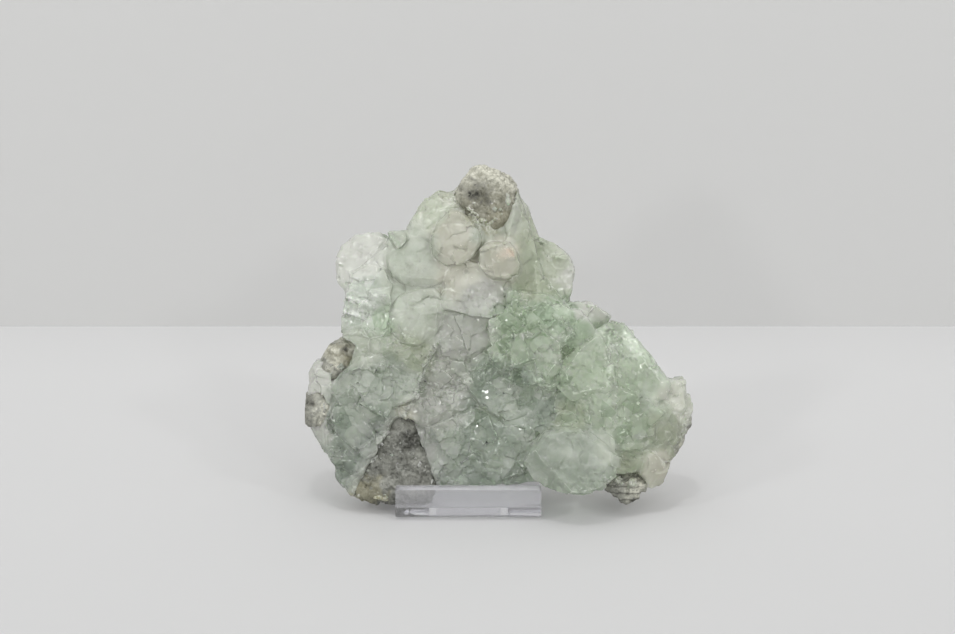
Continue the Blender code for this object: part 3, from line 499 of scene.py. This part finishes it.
def fluorite_material(settings):
    """Fluorite: low-index, glassy on fresh cleavage, milky where it is full of veils, and faintly green in depth."""
    made, tree, shader, output = new_material("fluorite")
    place = add_node(tree, "ShaderNodeTexCoord").outputs["Object"]
    tint = add_node(tree, "ShaderNodeAttribute", {"attribute_name": "tint"}).outputs["Color"]
    clarity = add_node(tree, "ShaderNodeAttribute", {"attribute_name": "clarity"}).outputs["Fac"]
    frost = add_node(tree, "ShaderNodeAttribute", {"attribute_name": "frost"}).outputs["Fac"]
    ridge = add_node(tree, "ShaderNodeAttribute", {"attribute_name": "ridge"}).outputs["Fac"]
    broken = add_node(tree, "ShaderNodeAttribute", {"attribute_name": "broken"}).outputs["Fac"]

    # Healed cracks: flat planes under the face, each leaning its own way, with painted highlight on some and painted
    # shade on others for how each catches the light
    planes = add_node(tree, "ShaderNodeTexVoronoi", None, {"Vector": place, "Scale": 1 / (settings.plane_mm * MM)})
    lot = add_node(tree, "ShaderNodeSeparateColor", None, {0: planes.outputs["Color"]})
    contrast = add_node(tree, "ShaderNodeMath", {"operation": "MULTIPLY"}, {
        0: broken, 1: settings.plane_contrast}).outputs[0]

    # Cleavage chips, finer than the mesh, in crushed patches of the clear crystal: some painted white as glints,
    # partly the white of air in cracks, and some painted dark as facet shade
    chips = add_node(tree, "ShaderNodeTexVoronoi", None, {"Vector": place, "Scale": 1 / (settings.chip_mm * MM)})
    chip_lot = add_node(tree, "ShaderNodeSeparateColor", None, {0: chips.outputs["Color"]})
    crush_noise = add_node(tree, "ShaderNodeTexNoise", None, {
        "Vector": place, "Scale": 1 / (settings.crush_mm * MM), "Detail": 3, "Roughness": 0.6})
    crushed = add_node(tree, "ShaderNodeMapRange", None, {
        "Value": crush_noise.outputs["Fac"], "From Min": 0.48, "From Max": 0.62, "To Max": broken})
    painted_glint = add_node(tree, "ShaderNodeMapRange", None, {
        "Value": chip_lot.outputs[0], "From Min": 0.9, "From Max": 1.05, "To Max": crushed.outputs["Result"]})
    painted_chip_shade = add_node(tree, "ShaderNodeMapRange", None, {
        "Value": chip_lot.outputs[1], "From Min": 0.75, "From Max": 1.2, "To Max": crushed.outputs["Result"]})
    painted_plane_highlight = add_node(tree, "ShaderNodeMapRange", None, {
        "Value": lot.outputs[0], "From Min": 0.5, "To Max": contrast})
    plane_highlight_mix = add_node(tree, "ShaderNodeMix", {"data_type": "RGBA"}, {
        0: painted_plane_highlight.outputs["Result"], 6: tint, 7: (*settings.veil_and_highlight_colour, 1)})
    # Painted shade on the darker planes, and on the dark chips below
    deeper = add_node(tree, "ShaderNodeMapRange", None, {
        "Value": lot.outputs[1], "From Min": 0.5, "To Max": contrast})
    painted_shade_share = add_node(tree, "ShaderNodeMath", {"operation": "MAXIMUM"}, {
        0: deeper.outputs["Result"], 1: painted_chip_shade.outputs["Result"]})
    painted_shade_mix = add_node(tree, "ShaderNodeMix", {"data_type": "RGBA", "blend_type": "MULTIPLY"}, {
        0: painted_shade_share.outputs[0], 6: plane_highlight_mix.outputs[2], 7: (*settings.painted_shade_colour, 1)})

    # Milky veils, which scatter light and hide the depth, with painted highlights on thin edges, painted light in
    # creases and painted glints
    veil_noise = add_node(tree, "ShaderNodeTexNoise", None, {
        "Vector": place, "Scale": 1 / (settings.veil_mm * MM), "Detail": 4, "Roughness": 0.55})
    veils = add_node(tree, "ShaderNodeMapRange", None, {
        "Value": veil_noise.outputs["Fac"], "From Min": 0.42, "From Max": 0.7, "To Max": 0.28})
    pale = add_node(tree, "ShaderNodeMath", {"operation": "MAXIMUM"}, {0: veils.outputs["Result"], 1: ridge})
    # Milky where the veils are, and painted white where the edge light and glints are painted
    milky = add_node(tree, "ShaderNodeMath", {"operation": "MAXIMUM", "use_clamp": True}, {
        0: pale.outputs[0], 1: painted_glint.outputs["Result"]})
    veiled = add_node(tree, "ShaderNodeMix", {"data_type": "RGBA"}, {
        0: milky.outputs[0], 6: painted_shade_mix.outputs[2], 7: (*settings.veil_and_highlight_colour, 1)})
    tree.links.new(veiled.outputs[2], shader.inputs["Base Color"])
    open_body = add_node(tree, "ShaderNodeMapRange", None, {"Value": milky.outputs[0], "To Min": 1.0, "To Max": 0.3})
    clear = add_node(tree, "ShaderNodeMath", {"operation": "MULTIPLY"}, {0: clarity, 1: open_body.outputs["Result"]})
    tree.links.new(clear.outputs[0], shader.inputs["Transmission Weight"])

    # Etching: patches of each face are duller
    etch_noise = add_node(tree, "ShaderNodeTexNoise", None, {
        "Vector": place, "Scale": 1 / (settings.etch_mm * MM), "Detail": 3})
    etching = add_node(tree, "ShaderNodeMapRange", None, {
        "Value": etch_noise.outputs["Fac"], "From Min": 0.35, "From Max": 0.7, "To Min": -0.04, "To Max": 0.08})
    dullness = add_node(tree, "ShaderNodeMath", {"use_clamp": True}, {0: frost, 1: etching.outputs["Result"]})
    tree.links.new(dullness.outputs[0], shader.inputs["Roughness"])

    # Each plane and each chip leans its own way, and some of them mirror a lamp
    normal = None
    for cells, lean, share in ((planes, settings.plane_lean, broken),
                               (chips, settings.chip_lean, crushed.outputs["Result"])):
        offset = add_node(tree, "ShaderNodeVectorMath", {"operation": "SUBTRACT"}, {
            0: place, 1: cells.outputs["Position"]})
        way = add_node(tree, "ShaderNodeVectorMath", {"operation": "SUBTRACT"}, {
            0: cells.outputs["Color"], 1: (0.5, 0.5, 0.5)})
        height = add_node(tree, "ShaderNodeVectorMath", {"operation": "DOT_PRODUCT"}, {
            0: offset.outputs["Vector"], 1: way.outputs["Vector"]})
        relief = add_node(tree, "ShaderNodeBump", None, {
            "Height": height.outputs["Value"], "Distance": lean, "Strength": share,
            **({"Normal": normal} if normal else {})})
        normal = relief.outputs["Normal"]
    tree.links.new(normal, shader.inputs["Normal"])

    shader.inputs["IOR"].default_value = settings.index
    shader.inputs["Subsurface Weight"].default_value = settings.glow
    shader.inputs["Subsurface Radius"].default_value = (0.9, 1.0, 0.85)
    shader.inputs["Subsurface Scale"].default_value = settings.glow_mm * MM
    body = add_node(tree, "ShaderNodeVolumeAbsorption", None, {
        "Color": (*settings.body_colour, 1), "Density": settings.body_density})
    tree.links.new(body.outputs["Volume"], output.inputs["Volume"])
    return made


def rock_material(settings):
    """Weathered greisen: matt grey grains of quartz and mica, with dark specks and brown stains."""
    made, tree, shader, _ = new_material("host_rock")
    place = add_node(tree, "ShaderNodeTexCoord").outputs["Object"]
    grains = add_node(tree, "ShaderNodeTexVoronoi", None, {"Vector": place, "Scale": 1 / (settings.grain_mm * MM)})
    lot = add_node(tree, "ShaderNodeSeparateColor", None, {0: grains.outputs["Color"]})
    greys = add_node(tree, "ShaderNodeMix", {"data_type": "RGBA"}, {
        0: lot.outputs[0], 6: (*settings.dark, 1), 7: (*settings.grey, 1)})

    # Paler and darker patches, a few mm across, then the dark specks
    patch_noise = add_node(tree, "ShaderNodeTexNoise", None, {
        "Vector": place, "Scale": 1 / (settings.patch_mm * MM), "Detail": 5, "Roughness": 0.65})
    patches = add_node(tree, "ShaderNodeMapRange", None, {
        "Value": patch_noise.outputs["Fac"], "From Min": 0.45, "From Max": 0.7, "To Max": 0.75})
    coloured = add_node(tree, "ShaderNodeMix", {"data_type": "RGBA"}, {
        0: patches.outputs["Result"], 6: greys.outputs[2], 7: (*settings.pale, 1)})
    speck_noise = add_node(tree, "ShaderNodeTexNoise", None, {
        "Vector": place, "Scale": 1 / (settings.speck_mm * MM), "Detail": 4, "Roughness": 0.6})
    specks = add_node(tree, "ShaderNodeMapRange", None, {
        "Value": speck_noise.outputs["Fac"], "From Min": 0.6, "From Max": 0.7, "To Max": 0.5})
    coloured = add_node(tree, "ShaderNodeMix", {"data_type": "RGBA"}, {
        0: specks.outputs["Result"], 6: coloured.outputs[2], 7: (*settings.speck_colour, 1)})
    by_grain = add_node(tree, "ShaderNodeMapRange", None, {"Value": lot.outputs[1], "To Min": 0.5, "To Max": 1.2})
    for name, colour in (("brownness", settings.brown), ("whiteness", settings.cap), ("darkness", settings.speck_colour)):
        cover = add_node(tree, "ShaderNodeAttribute", {"attribute_name": name}).outputs["Fac"]
        if name != "brownness":
            cover = add_node(tree, "ShaderNodeMath", {"operation": "MULTIPLY"}, {
                0: cover, 1: by_grain.outputs["Result"]}).outputs[0]
        coloured = add_node(tree, "ShaderNodeMix", {"data_type": "RGBA"}, {
            0: cover, 6: coloured.outputs[2], 7: (*colour, 1)})

    # Dark joints between the layers of the foot block: the wave node turns 20 radians in one of its units
    waves = add_node(tree, "ShaderNodeTexWave", {"bands_direction": "Z"}, {
        "Vector": place, "Scale": math.tau / (20 * settings.layer_mm * MM), "Distortion": 3, "Detail": 3,
        "Detail Scale": 1.5})
    dark_joint = add_node(tree, "ShaderNodeMapRange", None, {
        "Value": waves.outputs["Fac"], "From Min": 0.05, "From Max": 0.3, "To Min": 0.5, "To Max": 0.0})
    layering = add_node(tree, "ShaderNodeAttribute", {"attribute_name": "layering"}).outputs["Fac"]
    joint_share = add_node(tree, "ShaderNodeMath", {"operation": "MULTIPLY"}, {
        0: layering, 1: dark_joint.outputs["Result"]})
    coloured = add_node(tree, "ShaderNodeMix", {"data_type": "RGBA"}, {
        0: joint_share.outputs[0], 6: coloured.outputs[2], 7: (*settings.speck_colour, 1)})
    tree.links.new(coloured.outputs[2], shader.inputs["Base Color"])
    dullness = add_node(tree, "ShaderNodeMapRange", None, {"Value": lot.outputs[2], "To Min": 0.15, "To Max": 0.9})
    tree.links.new(dullness.outputs["Result"], shader.inputs["Roughness"])
    offset = add_node(tree, "ShaderNodeVectorMath", {"operation": "SUBTRACT"}, {
        0: place, 1: grains.outputs["Position"]})
    way = add_node(tree, "ShaderNodeVectorMath", {"operation": "SUBTRACT"}, {
        0: grains.outputs["Color"], 1: (0.5, 0.5, 0.5)})
    height = add_node(tree, "ShaderNodeVectorMath", {"operation": "DOT_PRODUCT"}, {
        0: offset.outputs["Vector"], 1: way.outputs["Vector"]})
    relief = add_node(tree, "ShaderNodeBump", None, {"Height": height.outputs["Value"], "Distance": 0.6})
    tree.links.new(relief.outputs["Normal"], shader.inputs["Normal"])
    return made


def acrylic_material(settings):
    """Cast acrylic, laser cut and flame polished: clear and hard, with faint rubs on its faces."""
    made, tree, shader, output = new_material("clear_acrylic")
    place = add_node(tree, "ShaderNodeTexCoord").outputs["Object"]
    shader.inputs["Base Color"].default_value = (*settings.tint, 1)
    shader.inputs["Transmission Weight"].default_value = settings.clearness
    shader.inputs["IOR"].default_value = settings.index
    rub_noise = add_node(tree, "ShaderNodeTexNoise", None, {
        "Vector": place, "Scale": 1 / (3 * MM), "Detail": 6, "Roughness": 0.7, "Distortion": 0.5})
    rubs = add_node(tree, "ShaderNodeMapRange", None, {
        "Value": rub_noise.outputs["Fac"], "From Min": 0.45, "From Max": 0.75, "To Min": 0.04, "To Max": 0.22})
    tree.links.new(rubs.outputs["Result"], shader.inputs["Roughness"])
    body = add_node(tree, "ShaderNodeVolumeAbsorption", None, {
        "Color": (*settings.body_colour, 1), "Density": settings.body_density})
    tree.links.new(body.outputs["Volume"], output.inputs["Volume"])
    return made


def stage_material(name, near_shade_colour, far_light_colour):
    """Matt pale card, graduated from the near colour to the far one as painted shade that darkens the table towards
    the camera, and unseen from its back.
    """
    made, tree, shader, output = new_material(name)
    place = add_node(tree, "ShaderNodeTexCoord").outputs["Object"]
    # Painted shade: the card's colour darkens between these depths in metres, towards the camera
    axes = add_node(tree, "ShaderNodeSeparateXYZ", None, {0: place})
    depth = add_node(tree, "ShaderNodeMapRange", None, {
        "Value": axes.outputs["Y"], "From Min": -0.13, "From Max": 0.12})
    card = add_node(tree, "ShaderNodeMix", {"data_type": "RGBA"}, {
        0: depth.outputs["Result"], 6: (*near_shade_colour, 1), 7: (*far_light_colour, 1)})
    tree.links.new(card.outputs[2], shader.inputs["Base Color"])
    shader.inputs["Roughness"].default_value = 0.9

    # A view from behind the backdrop passes through its back, so that the specimen's back can be seen
    behind = add_node(tree, "ShaderNodeNewGeometry").outputs["Backfacing"]
    unseen = add_node(tree, "ShaderNodeBsdfTransparent")
    surface = add_node(tree, "ShaderNodeMixShader", None, {
        0: behind, 1: shader.outputs["BSDF"], 2: unseen.outputs["BSDF"]})
    tree.links.new(surface.outputs["Shader"], output.inputs["Surface"])
    return made


def colour_property(name, description, hex_colour):
    return FloatVectorProperty(name=name, description=description, subtype="COLOR", size=3, min=0, max=1,
                               default=linear(hex_colour))


class CrystalSettings(PropertyGroup):
    skin_mm: FloatProperty(name="Skin", description="Longest edge on the front of the crystals, in mm", default=0.6)
    back_mm: FloatProperty(name="Back", description="Longest edge elsewhere, in mm", default=1.6)
    growth_scale: FloatProperty(name="Growths", description="Size of the small crystals", default=1.0)
    fusing_mm: FloatProperty(name="Fusing", description="Reach of the fill between milky crystals, in mm", default=2.4)
    facet_mm: FloatProperty(name="Facet", description="Width of the chipped facets, in mm", default=4.0)
    steepness: FloatProperty(name="Steepness", description="How far a facet of milky crystal leans", default=0.3)
    break_mm: FloatProperty(name="Break", description="Width of a broken facet of clear crystal, in mm", default=3.4)
    break_lean: FloatProperty(name="Break lean", description="How far it leans from the face", default=0.26)
    wear_mm: FloatProperty(name="Wear", description="How far sharp edges are rubbed back, in mm", default=0.14)
    veil_mm: FloatProperty(name="Veil", description="Width of the milky veils, in mm", default=8.0)
    etch_mm: FloatProperty(name="Etching", description="Width of a dull patch, in mm", default=1.6)
    plane_mm: FloatProperty(name="Planes", description="Width of the flat cracks inside, in mm", default=3.8)
    # How much painted highlight and painted shade the planes get
    plane_contrast: FloatProperty(name="Plane contrast", description="How unlike the cracks look", default=0.6)
    plane_lean: FloatProperty(name="Plane lean", description="How far the larger steps lean", default=0.5)
    chip_mm: FloatProperty(name="Chips", description="Width of the smallest cleavage steps, in mm", default=0.6)
    chip_lean: FloatProperty(name="Chip lean", description="How far the smallest steps lean", default=1.2)
    crush_mm: FloatProperty(name="Crushed", description="Width of a patch of the smallest steps, in mm", default=6.0)
    edge_light: FloatProperty(name="Edge light", description="How white the thin edges are", default=0.6)
    index: FloatProperty(name="Refractive index", description="Fluorite bends light very little", default=1.434)
    glow: FloatProperty(name="Glow", description="Share of light that spreads under the skin", default=1.0)
    glow_mm: FloatProperty(name="Glow reach", description="How far light spreads, in mm", default=0.7)
    # The veil colour also paints the highlights on planes, edges and chips
    veil_and_highlight_colour: colour_property("Veils", "Colour of the milky veils", "#F0F3EC")
    # Colour of the painted shade on planes and chips
    painted_shade_colour: colour_property("Depth", "What the deeper cracks are darkened by", "#B4C5B0")
    body_colour: colour_property("Body", "What is left of white light in depth", "#CBDEC4")
    body_density: FloatProperty(name="Body density", description="Absorption per metre", default=20.0)


class RockSettings(PropertyGroup):
    skin_mm: FloatProperty(name="Skin", description="Longest edge where the rock is bare, in mm", default=0.6)
    back_mm: FloatProperty(name="Back", description="Longest edge elsewhere, in mm", default=1.4)
    flush_mm: FloatProperty(name="Flush", description="How far bare rock comes up to the crystals, in mm", default=1.7)
    rough_mm: FloatProperty(name="Roughness", description="Depth of the broken surface, in mm", default=0.55)
    grain_mm: FloatProperty(name="Grain", description="Width of a mineral grain, in mm", default=0.55)
    speck_mm: FloatProperty(name="Speck", description="Width of a dark speck, in mm", default=2.4)
    patch_mm: FloatProperty(name="Patch", description="Width of a paler patch, in mm", default=5.0)
    layer_mm: FloatProperty(name="Layer", description="Thickness of a layer in the foot block, in mm", default=1.6)
    grey: colour_property("Grey", "Quartz and mica", "#83847C")
    dark: colour_property("Dark grains", "Dark mica", "#5C5D56")
    pale: colour_property("Pale grains", "Fresh quartz", "#9C9D94")
    brown: colour_property("Stain", "Iron stain", "#8E8A70")
    speck_colour: colour_property("Specks", "Black specks", "#2F2F28")
    cap: colour_property("Cap", "White crust on the summit", "#D6D5C6")


class StandSettings(PropertyGroup):
    edge_mm: FloatProperty(name="Edge", description="Radius of the polished edges, in mm", default=0.12)
    clearness: FloatProperty(name="Clearness", description="The rest is haze from dust and rubs", default=0.84)
    index: FloatProperty(name="Refractive index", description="Acrylic", default=1.49)
    tint: colour_property("Tint", "Colour of the sheet", "#F3F3F5")
    body_colour: colour_property("Body", "What is left of white light in depth", "#E4E4F0")
    body_density: FloatProperty(name="Body density", description="Absorption per metre", default=12.0)


class StageSettings(PropertyGroup):
    wall_distance: FloatProperty(name="Wall", description="From the specimen back to the wall", default=0.175,
                                 subtype="DISTANCE")
    air_gap: FloatProperty(name="Air gap", description="Between the easel and the table, which keeps it clear",
                           default=0.25 * MM, subtype="DISTANCE")
    # The table's two colours paint shade on it: darker near the camera, lighter towards the wall
    near_shade_colour: colour_property("Near floor", "Pale table towards the camera", "#C7C7C7")
    far_light_colour: colour_property("Far floor", "Pale table towards the wall", "#D8D8D8")
    wall_colour: colour_property("Wall", "Pale backdrop", "#CDCDCC")
    sky: FloatProperty(name="Tent", description="Strength of the even light from all round", default=0.58)
    key: FloatProperty(name="Key", description="Power of the soft light overhead, in watts", default=0.9)
    fill: FloatProperty(name="Fill", description="Power of the soft light in front, in watts", default=3.2)
    glint: FloatProperty(name="Glint", description="Power of each small lamp that glints mirror", default=0.62)


def keep_in_box(bm):
    """Brings back what reaches past the CAD model's box."""
    low, high = (np.array(corner) for corner in cad_box)
    for v in bm.verts:
        v.co = np.clip(v.co, low, high)


def grow_crystals(settings):
    rng = random.Random(GROWTH_SEED)
    base = welded_copy("fluorite_crystals")
    growths = grow_on(base, settings.growth_scale, rng)
    bm = joined(base, growths)
    bmesh.ops.remove_doubles(bm, verts=bm.verts, dist=0.02 * MM)
    coarse = 1.0

    def longest(place):
        depth = (TO_FACE @ place).y / MM
        return coarse * (settings.skin_mm if depth < 7 else settings.back_mm) * MM

    refine(bm, longest)
    bm.verts.index_update()
    values = finish_values(face_coordinates(coordinates(bm)))
    joints = fill_valleys(bm, values[:, 3] < 0.55, round(settings.fusing_mm / settings.skin_mm / coarse))
    points = coordinates(bm) / MM
    roughness = 0.35 + values[:, 4]
    relief = facets(points, settings.facet_mm, settings.steepness, 1.0) * roughness
    relief += 0.05 * fractal(points, 2.5, 3, 9) * roughness
    clarity = values[:, 3]
    crushed = np.clip(1.6 * fractal(points, 6, 2, 15) + 0.4, 0, 1) * np.clip(1.4 * clarity, 0, 1)
    relief += facets(points, 1.8, 0.22, 3.0) * crushed
    flat = face_coordinates(points * MM)[:, [0, 2]]
    whole = np.max([covering(flat, *face) for face in SMOOTH_FACES], axis=0)
    relief += facets(points, settings.break_mm, settings.break_lean, 6.0) * (
        np.clip((clarity - 0.5) / 0.15, 0, 1) * (1 - 0.85 * whole))
    broken = np.clip((clarity - 0.35) / 0.4, 0, 1) * (1 - 0.7 * whole)
    relief = np.clip(relief, -0.6, 0.25)
    patchy = np.abs(fractal(points, 1.4, 2, 5))
    edges = edge_wear(bm, math.radians(24))
    move_out(bm, (relief - edges * (0.4 + 0.6 * patchy) * settings.wear_mm) * MM)
    keep_in_box(bm)
    piece = add_piece("crystal_cluster", bm, fluorite_material(settings), "fluorite_crystals")
    tint = piece.data.attributes.new("tint", "FLOAT_COLOR", "POINT")
    tint.data.foreach_set("color", np.hstack([values[:, :3], np.ones((len(values), 1))]).ravel())
    # Painted highlights on sharp outer edges, partly the white of chipped edges, and painted light in the creases
    # between crystals that lightens their shade
    thin = settings.edge_light * edges * np.clip(2.2 * patchy, 0, 1) * np.clip(2 * clarity - 0.4, 0.2, 1)
    write_attributes(piece, clarity=clarity, frost=values[:, 4], broken=broken,
                     ridge=np.maximum(thin, joints * np.clip(0.8 - clarity, 0.05, 0.5)))
    thin_out(piece)
    piece.data.set_sharp_from_angle(angle=math.radians(11))
    return piece


def break_rock(settings):
    bm = welded_copy("matrix_rock")
    coarse = 1.0

    def longest(place):
        face = TO_FACE @ place / MM
        bared = any(math.hypot(face.x - across, face.z - up) < reach for across, up, reach in BARE_ROCK)
        return coarse * (settings.skin_mm if bared and face.y < 14 else settings.back_mm) * MM

    refine(bm, longest)
    points = coordinates(bm) / MM
    face = face_coordinates(coordinates(bm))
    bare = np.zeros(len(face))
    for across, up, reach in BARE_ROCK:
        away = np.hypot(face[:, 0] - across, face[:, 2] - up)
        bare = np.maximum(bare, np.clip((reach - away) / 3, 0, 1))
    bare *= np.clip((14 - face[:, 1]) / 3, 0, 1)
    relief = facets(points, 2.6, 0.35, 2.0) + fractal(points, 3.0, 5, 2) * settings.rough_mm
    layered = (np.abs(face[:, 0] - 31) < 6) & (face[:, 2] < 9)
    move_out(bm, (np.clip(relief, -1.0, 0.5) + settings.flush_mm * bare * ~layered) * MM)
    keep_in_box(bm)
    piece = add_piece("host_rock", bm, rock_material(settings), "matrix_rock")
    across, up = face[:, 0], face[:, 2]
    blotch = fractal(face, 2.4, 5, 8)
    white = np.clip((up - 70) / 3, 0, 1) * np.clip(0.45 + 0.9 * blotch + 0.12 * (up - 82), 0.1, 0.85)
    white = np.maximum(white, np.clip((np.abs(across) - 40) / 3, 0, 1) * np.clip(0.5 + 0.8 * blotch, 0.1, 0.8))
    white = np.maximum(white, 0.9 * (1 - bare))
    white = np.maximum(white, np.where(layered, np.clip((across - 31) / 4, 0.15, 0.8), 0))
    dark = np.zeros(len(face))
    brown = 0.4 * np.clip((up - 68) / 3, 0, 1)
    for patches, column, most in ((BLACK_PATCHES, dark, 0.95), (BROWN_PATCHES, brown, 0.6)):
        for side, height, reach in patches:
            away = np.hypot(across - side, up - height)
            np.maximum(column, np.clip(1.2 - away / reach + 0.9 * blotch, 0, most), out=column)
    write_attributes(piece, whiteness=white, darkness=dark, brownness=brown, layering=layered)
    piece.data.set_sharp_from_angle(angle=math.radians(25))
    return piece


def polish_stand(settings):
    bm = welded_copy("acrylic_stand")
    flat = math.radians(1)
    bmesh.ops.dissolve_limit(bm, angle_limit=flat, verts=bm.verts, edges=bm.edges)
    sharp = [e for e in bm.edges if len(e.link_faces) == 2 and e.calc_face_angle() > math.radians(40)]
    bmesh.ops.bevel(bm, geom=sharp, offset=settings.edge_mm * MM, segments=2, affect="EDGES", profile=0.5, material=-1,
                    clamp_overlap=True)
    piece = add_piece("clear_easel", bm, acrylic_material(settings), "acrylic_stand")
    piece.data.shade_smooth()
    piece.data.set_sharp_from_angle(angle=math.radians(35))
    return piece


def sheet(name, size, turn, place, material):
    bm = bmesh.new()
    bmesh.ops.create_grid(bm, x_segments=2, y_segments=2, size=size / 2)
    bmesh.ops.rotate(bm, matrix=turn, verts=bm.verts)
    bmesh.ops.translate(bm, vec=place, verts=bm.verts)
    mesh = bpy.data.meshes.new(name)
    bm.to_mesh(mesh)
    bm.free()
    mesh.materials.append(material)
    made = bpy.data.objects.new(name, mesh)
    bpy.context.scene.collection.objects.link(made)
    return made


# The lamps whose mirror images make the glints
LAMP_SIZE = 0.07
LAMPS = (
    ("left_lamp", (-0.5, -0.5, 0.5)), ("right_lamp", (0.45, -0.55, 0.55)), ("top_lamp", (-0.05, -0.3, 0.8)),
    ("low_left_lamp", (-0.35, -0.8, 0.3)), ("low_right_lamp", (0.3, -0.8, 0.4)),
)


def soft_light(name, size, power, place, aim):
    lamp = bpy.data.lights.new(name, "AREA")
    lamp.shape = "SQUARE"
    lamp.size = size
    lamp.energy = power
    made = bpy.data.objects.new(name, lamp)
    made.location = place
    made.rotation_euler = (Vector(aim) - Vector(place)).to_track_quat("-Z", "Y").to_euler()
    bpy.context.scene.collection.objects.link(made)
    return made


def set_camera():
    view = bpy.data.cameras.new("photo_view")
    view.lens = LENS_MM
    view.sensor_width = SENSOR_MM
    camera = bpy.data.objects.new("photo_view", view)
    aim = TO_WORLD @ CENTRE_ON_FACE
    towards = Vector((0, -math.cos(CAMERA_TILT), math.sin(CAMERA_TILT)))
    camera.location = aim + towards * CAMERA_DISTANCE
    camera.rotation_euler = (-towards).to_track_quat("-Z", "Y").to_euler()
    bpy.context.scene.collection.objects.link(camera)
    bpy.context.scene.camera = camera


def set_stage(settings):
    upright = Matrix.Rotation(math.radians(90), 3, "X")
    sheet("table", 3.0, Matrix.Identity(3), (0, -1.5 + settings.wall_distance, -settings.air_gap),
          stage_material("table_card", settings.near_shade_colour, settings.far_light_colour))
    sheet("backdrop", 3.0, upright, (0, settings.wall_distance, 1.5),
          stage_material("backdrop_card", settings.wall_colour, settings.wall_colour))
    world = bpy.data.worlds.new("light_box")
    world.use_nodes = True
    world.node_tree.nodes["Background"].inputs["Strength"].default_value = settings.sky
    world.node_tree.nodes["Background"].inputs["Color"].default_value = (1, 1, 1, 1)
    bpy.context.scene.world = world
    aim = (0, 0, 0.04)
    soft_light("ceiling", 1.0, settings.key, (0, 0, 0.85), (0, 0, 0))
    # The fill casts no shadow, as light thrown about inside a white tent hardly does
    soft_light("fill", 1.0, settings.fill, (0, -0.55, 0.88), aim).data.use_shadow = False
    for name, place in LAMPS:
        soft_light(name, LAMP_SIZE, settings.glint, place, aim)
    bpy.context.scene.view_settings.view_transform = "Standard"
    set_camera()


class FLUORITE_OT_grow_crystals(Operator):
    """Grow the cluster over the CAD crystals"""

    bl_idname = "fluorite.grow_crystals"
    bl_label = "Grow Crystals"

    def execute(self, context):
        grow_crystals(context.scene.fluorite_crystals)
        return {"FINISHED"}


class FLUORITE_OT_break_rock(Operator):
    """Break the host rock's surface"""

    bl_idname = "fluorite.break_rock"
    bl_label = "Break Rock"

    def execute(self, context):
        break_rock(context.scene.fluorite_rock)
        return {"FINISHED"}


class FLUORITE_OT_polish_stand(Operator):
    """Polish the clear easel"""

    bl_idname = "fluorite.polish_stand"
    bl_label = "Polish Stand"

    def execute(self, context):
        polish_stand(context.scene.fluorite_stand)
        return {"FINISHED"}


class FLUORITE_OT_set_stage(Operator):
    """Lay the table, hang the backdrop, and set lights and camera"""

    bl_idname = "fluorite.set_stage"
    bl_label = "Set Stage"

    def execute(self, context):
        set_stage(context.scene.fluorite_stage)
        return {"FINISHED"}


SETTINGS = {
    "fluorite_crystals": CrystalSettings,
    "fluorite_rock": RockSettings,
    "fluorite_stand": StandSettings,
    "fluorite_stage": StageSettings,
}
OPERATORS = (FLUORITE_OT_grow_crystals, FLUORITE_OT_break_rock, FLUORITE_OT_polish_stand, FLUORITE_OT_set_stage)


class FLUORITE_PT_specimen(Panel):
    """The specimen's pieces and what can be changed on each"""

    bl_label = "Fluorite Specimen"
    bl_space_type = "VIEW_3D"
    bl_region_type = "UI"
    bl_category = "Fluorite"

    def draw(self, context):
        for (name, group), operator in zip(SETTINGS.items(), OPERATORS):
            box = self.layout.box()
            for setting in group.__annotations__:
                box.prop(getattr(context.scene, name), setting)
            box.operator(operator.bl_idname)


CLASSES = (*SETTINGS.values(), *OPERATORS, FLUORITE_PT_specimen)


def register():
    for each in CLASSES:
        bpy.utils.register_class(each)
    for name, group in SETTINGS.items():
        setattr(bpy.types.Scene, name, PointerProperty(type=group))


def unregister():
    for name in SETTINGS:
        delattr(bpy.types.Scene, name)
    for each in reversed(CLASSES):
        bpy.utils.unregister_class(each)


def main():
    register()
    bpy.ops.fluorite.set_stage()
    bpy.ops.fluorite.break_rock()
    bpy.ops.fluorite.grow_crystals()
    bpy.ops.fluorite.polish_stand()


if __name__ == "__main__":
    main()
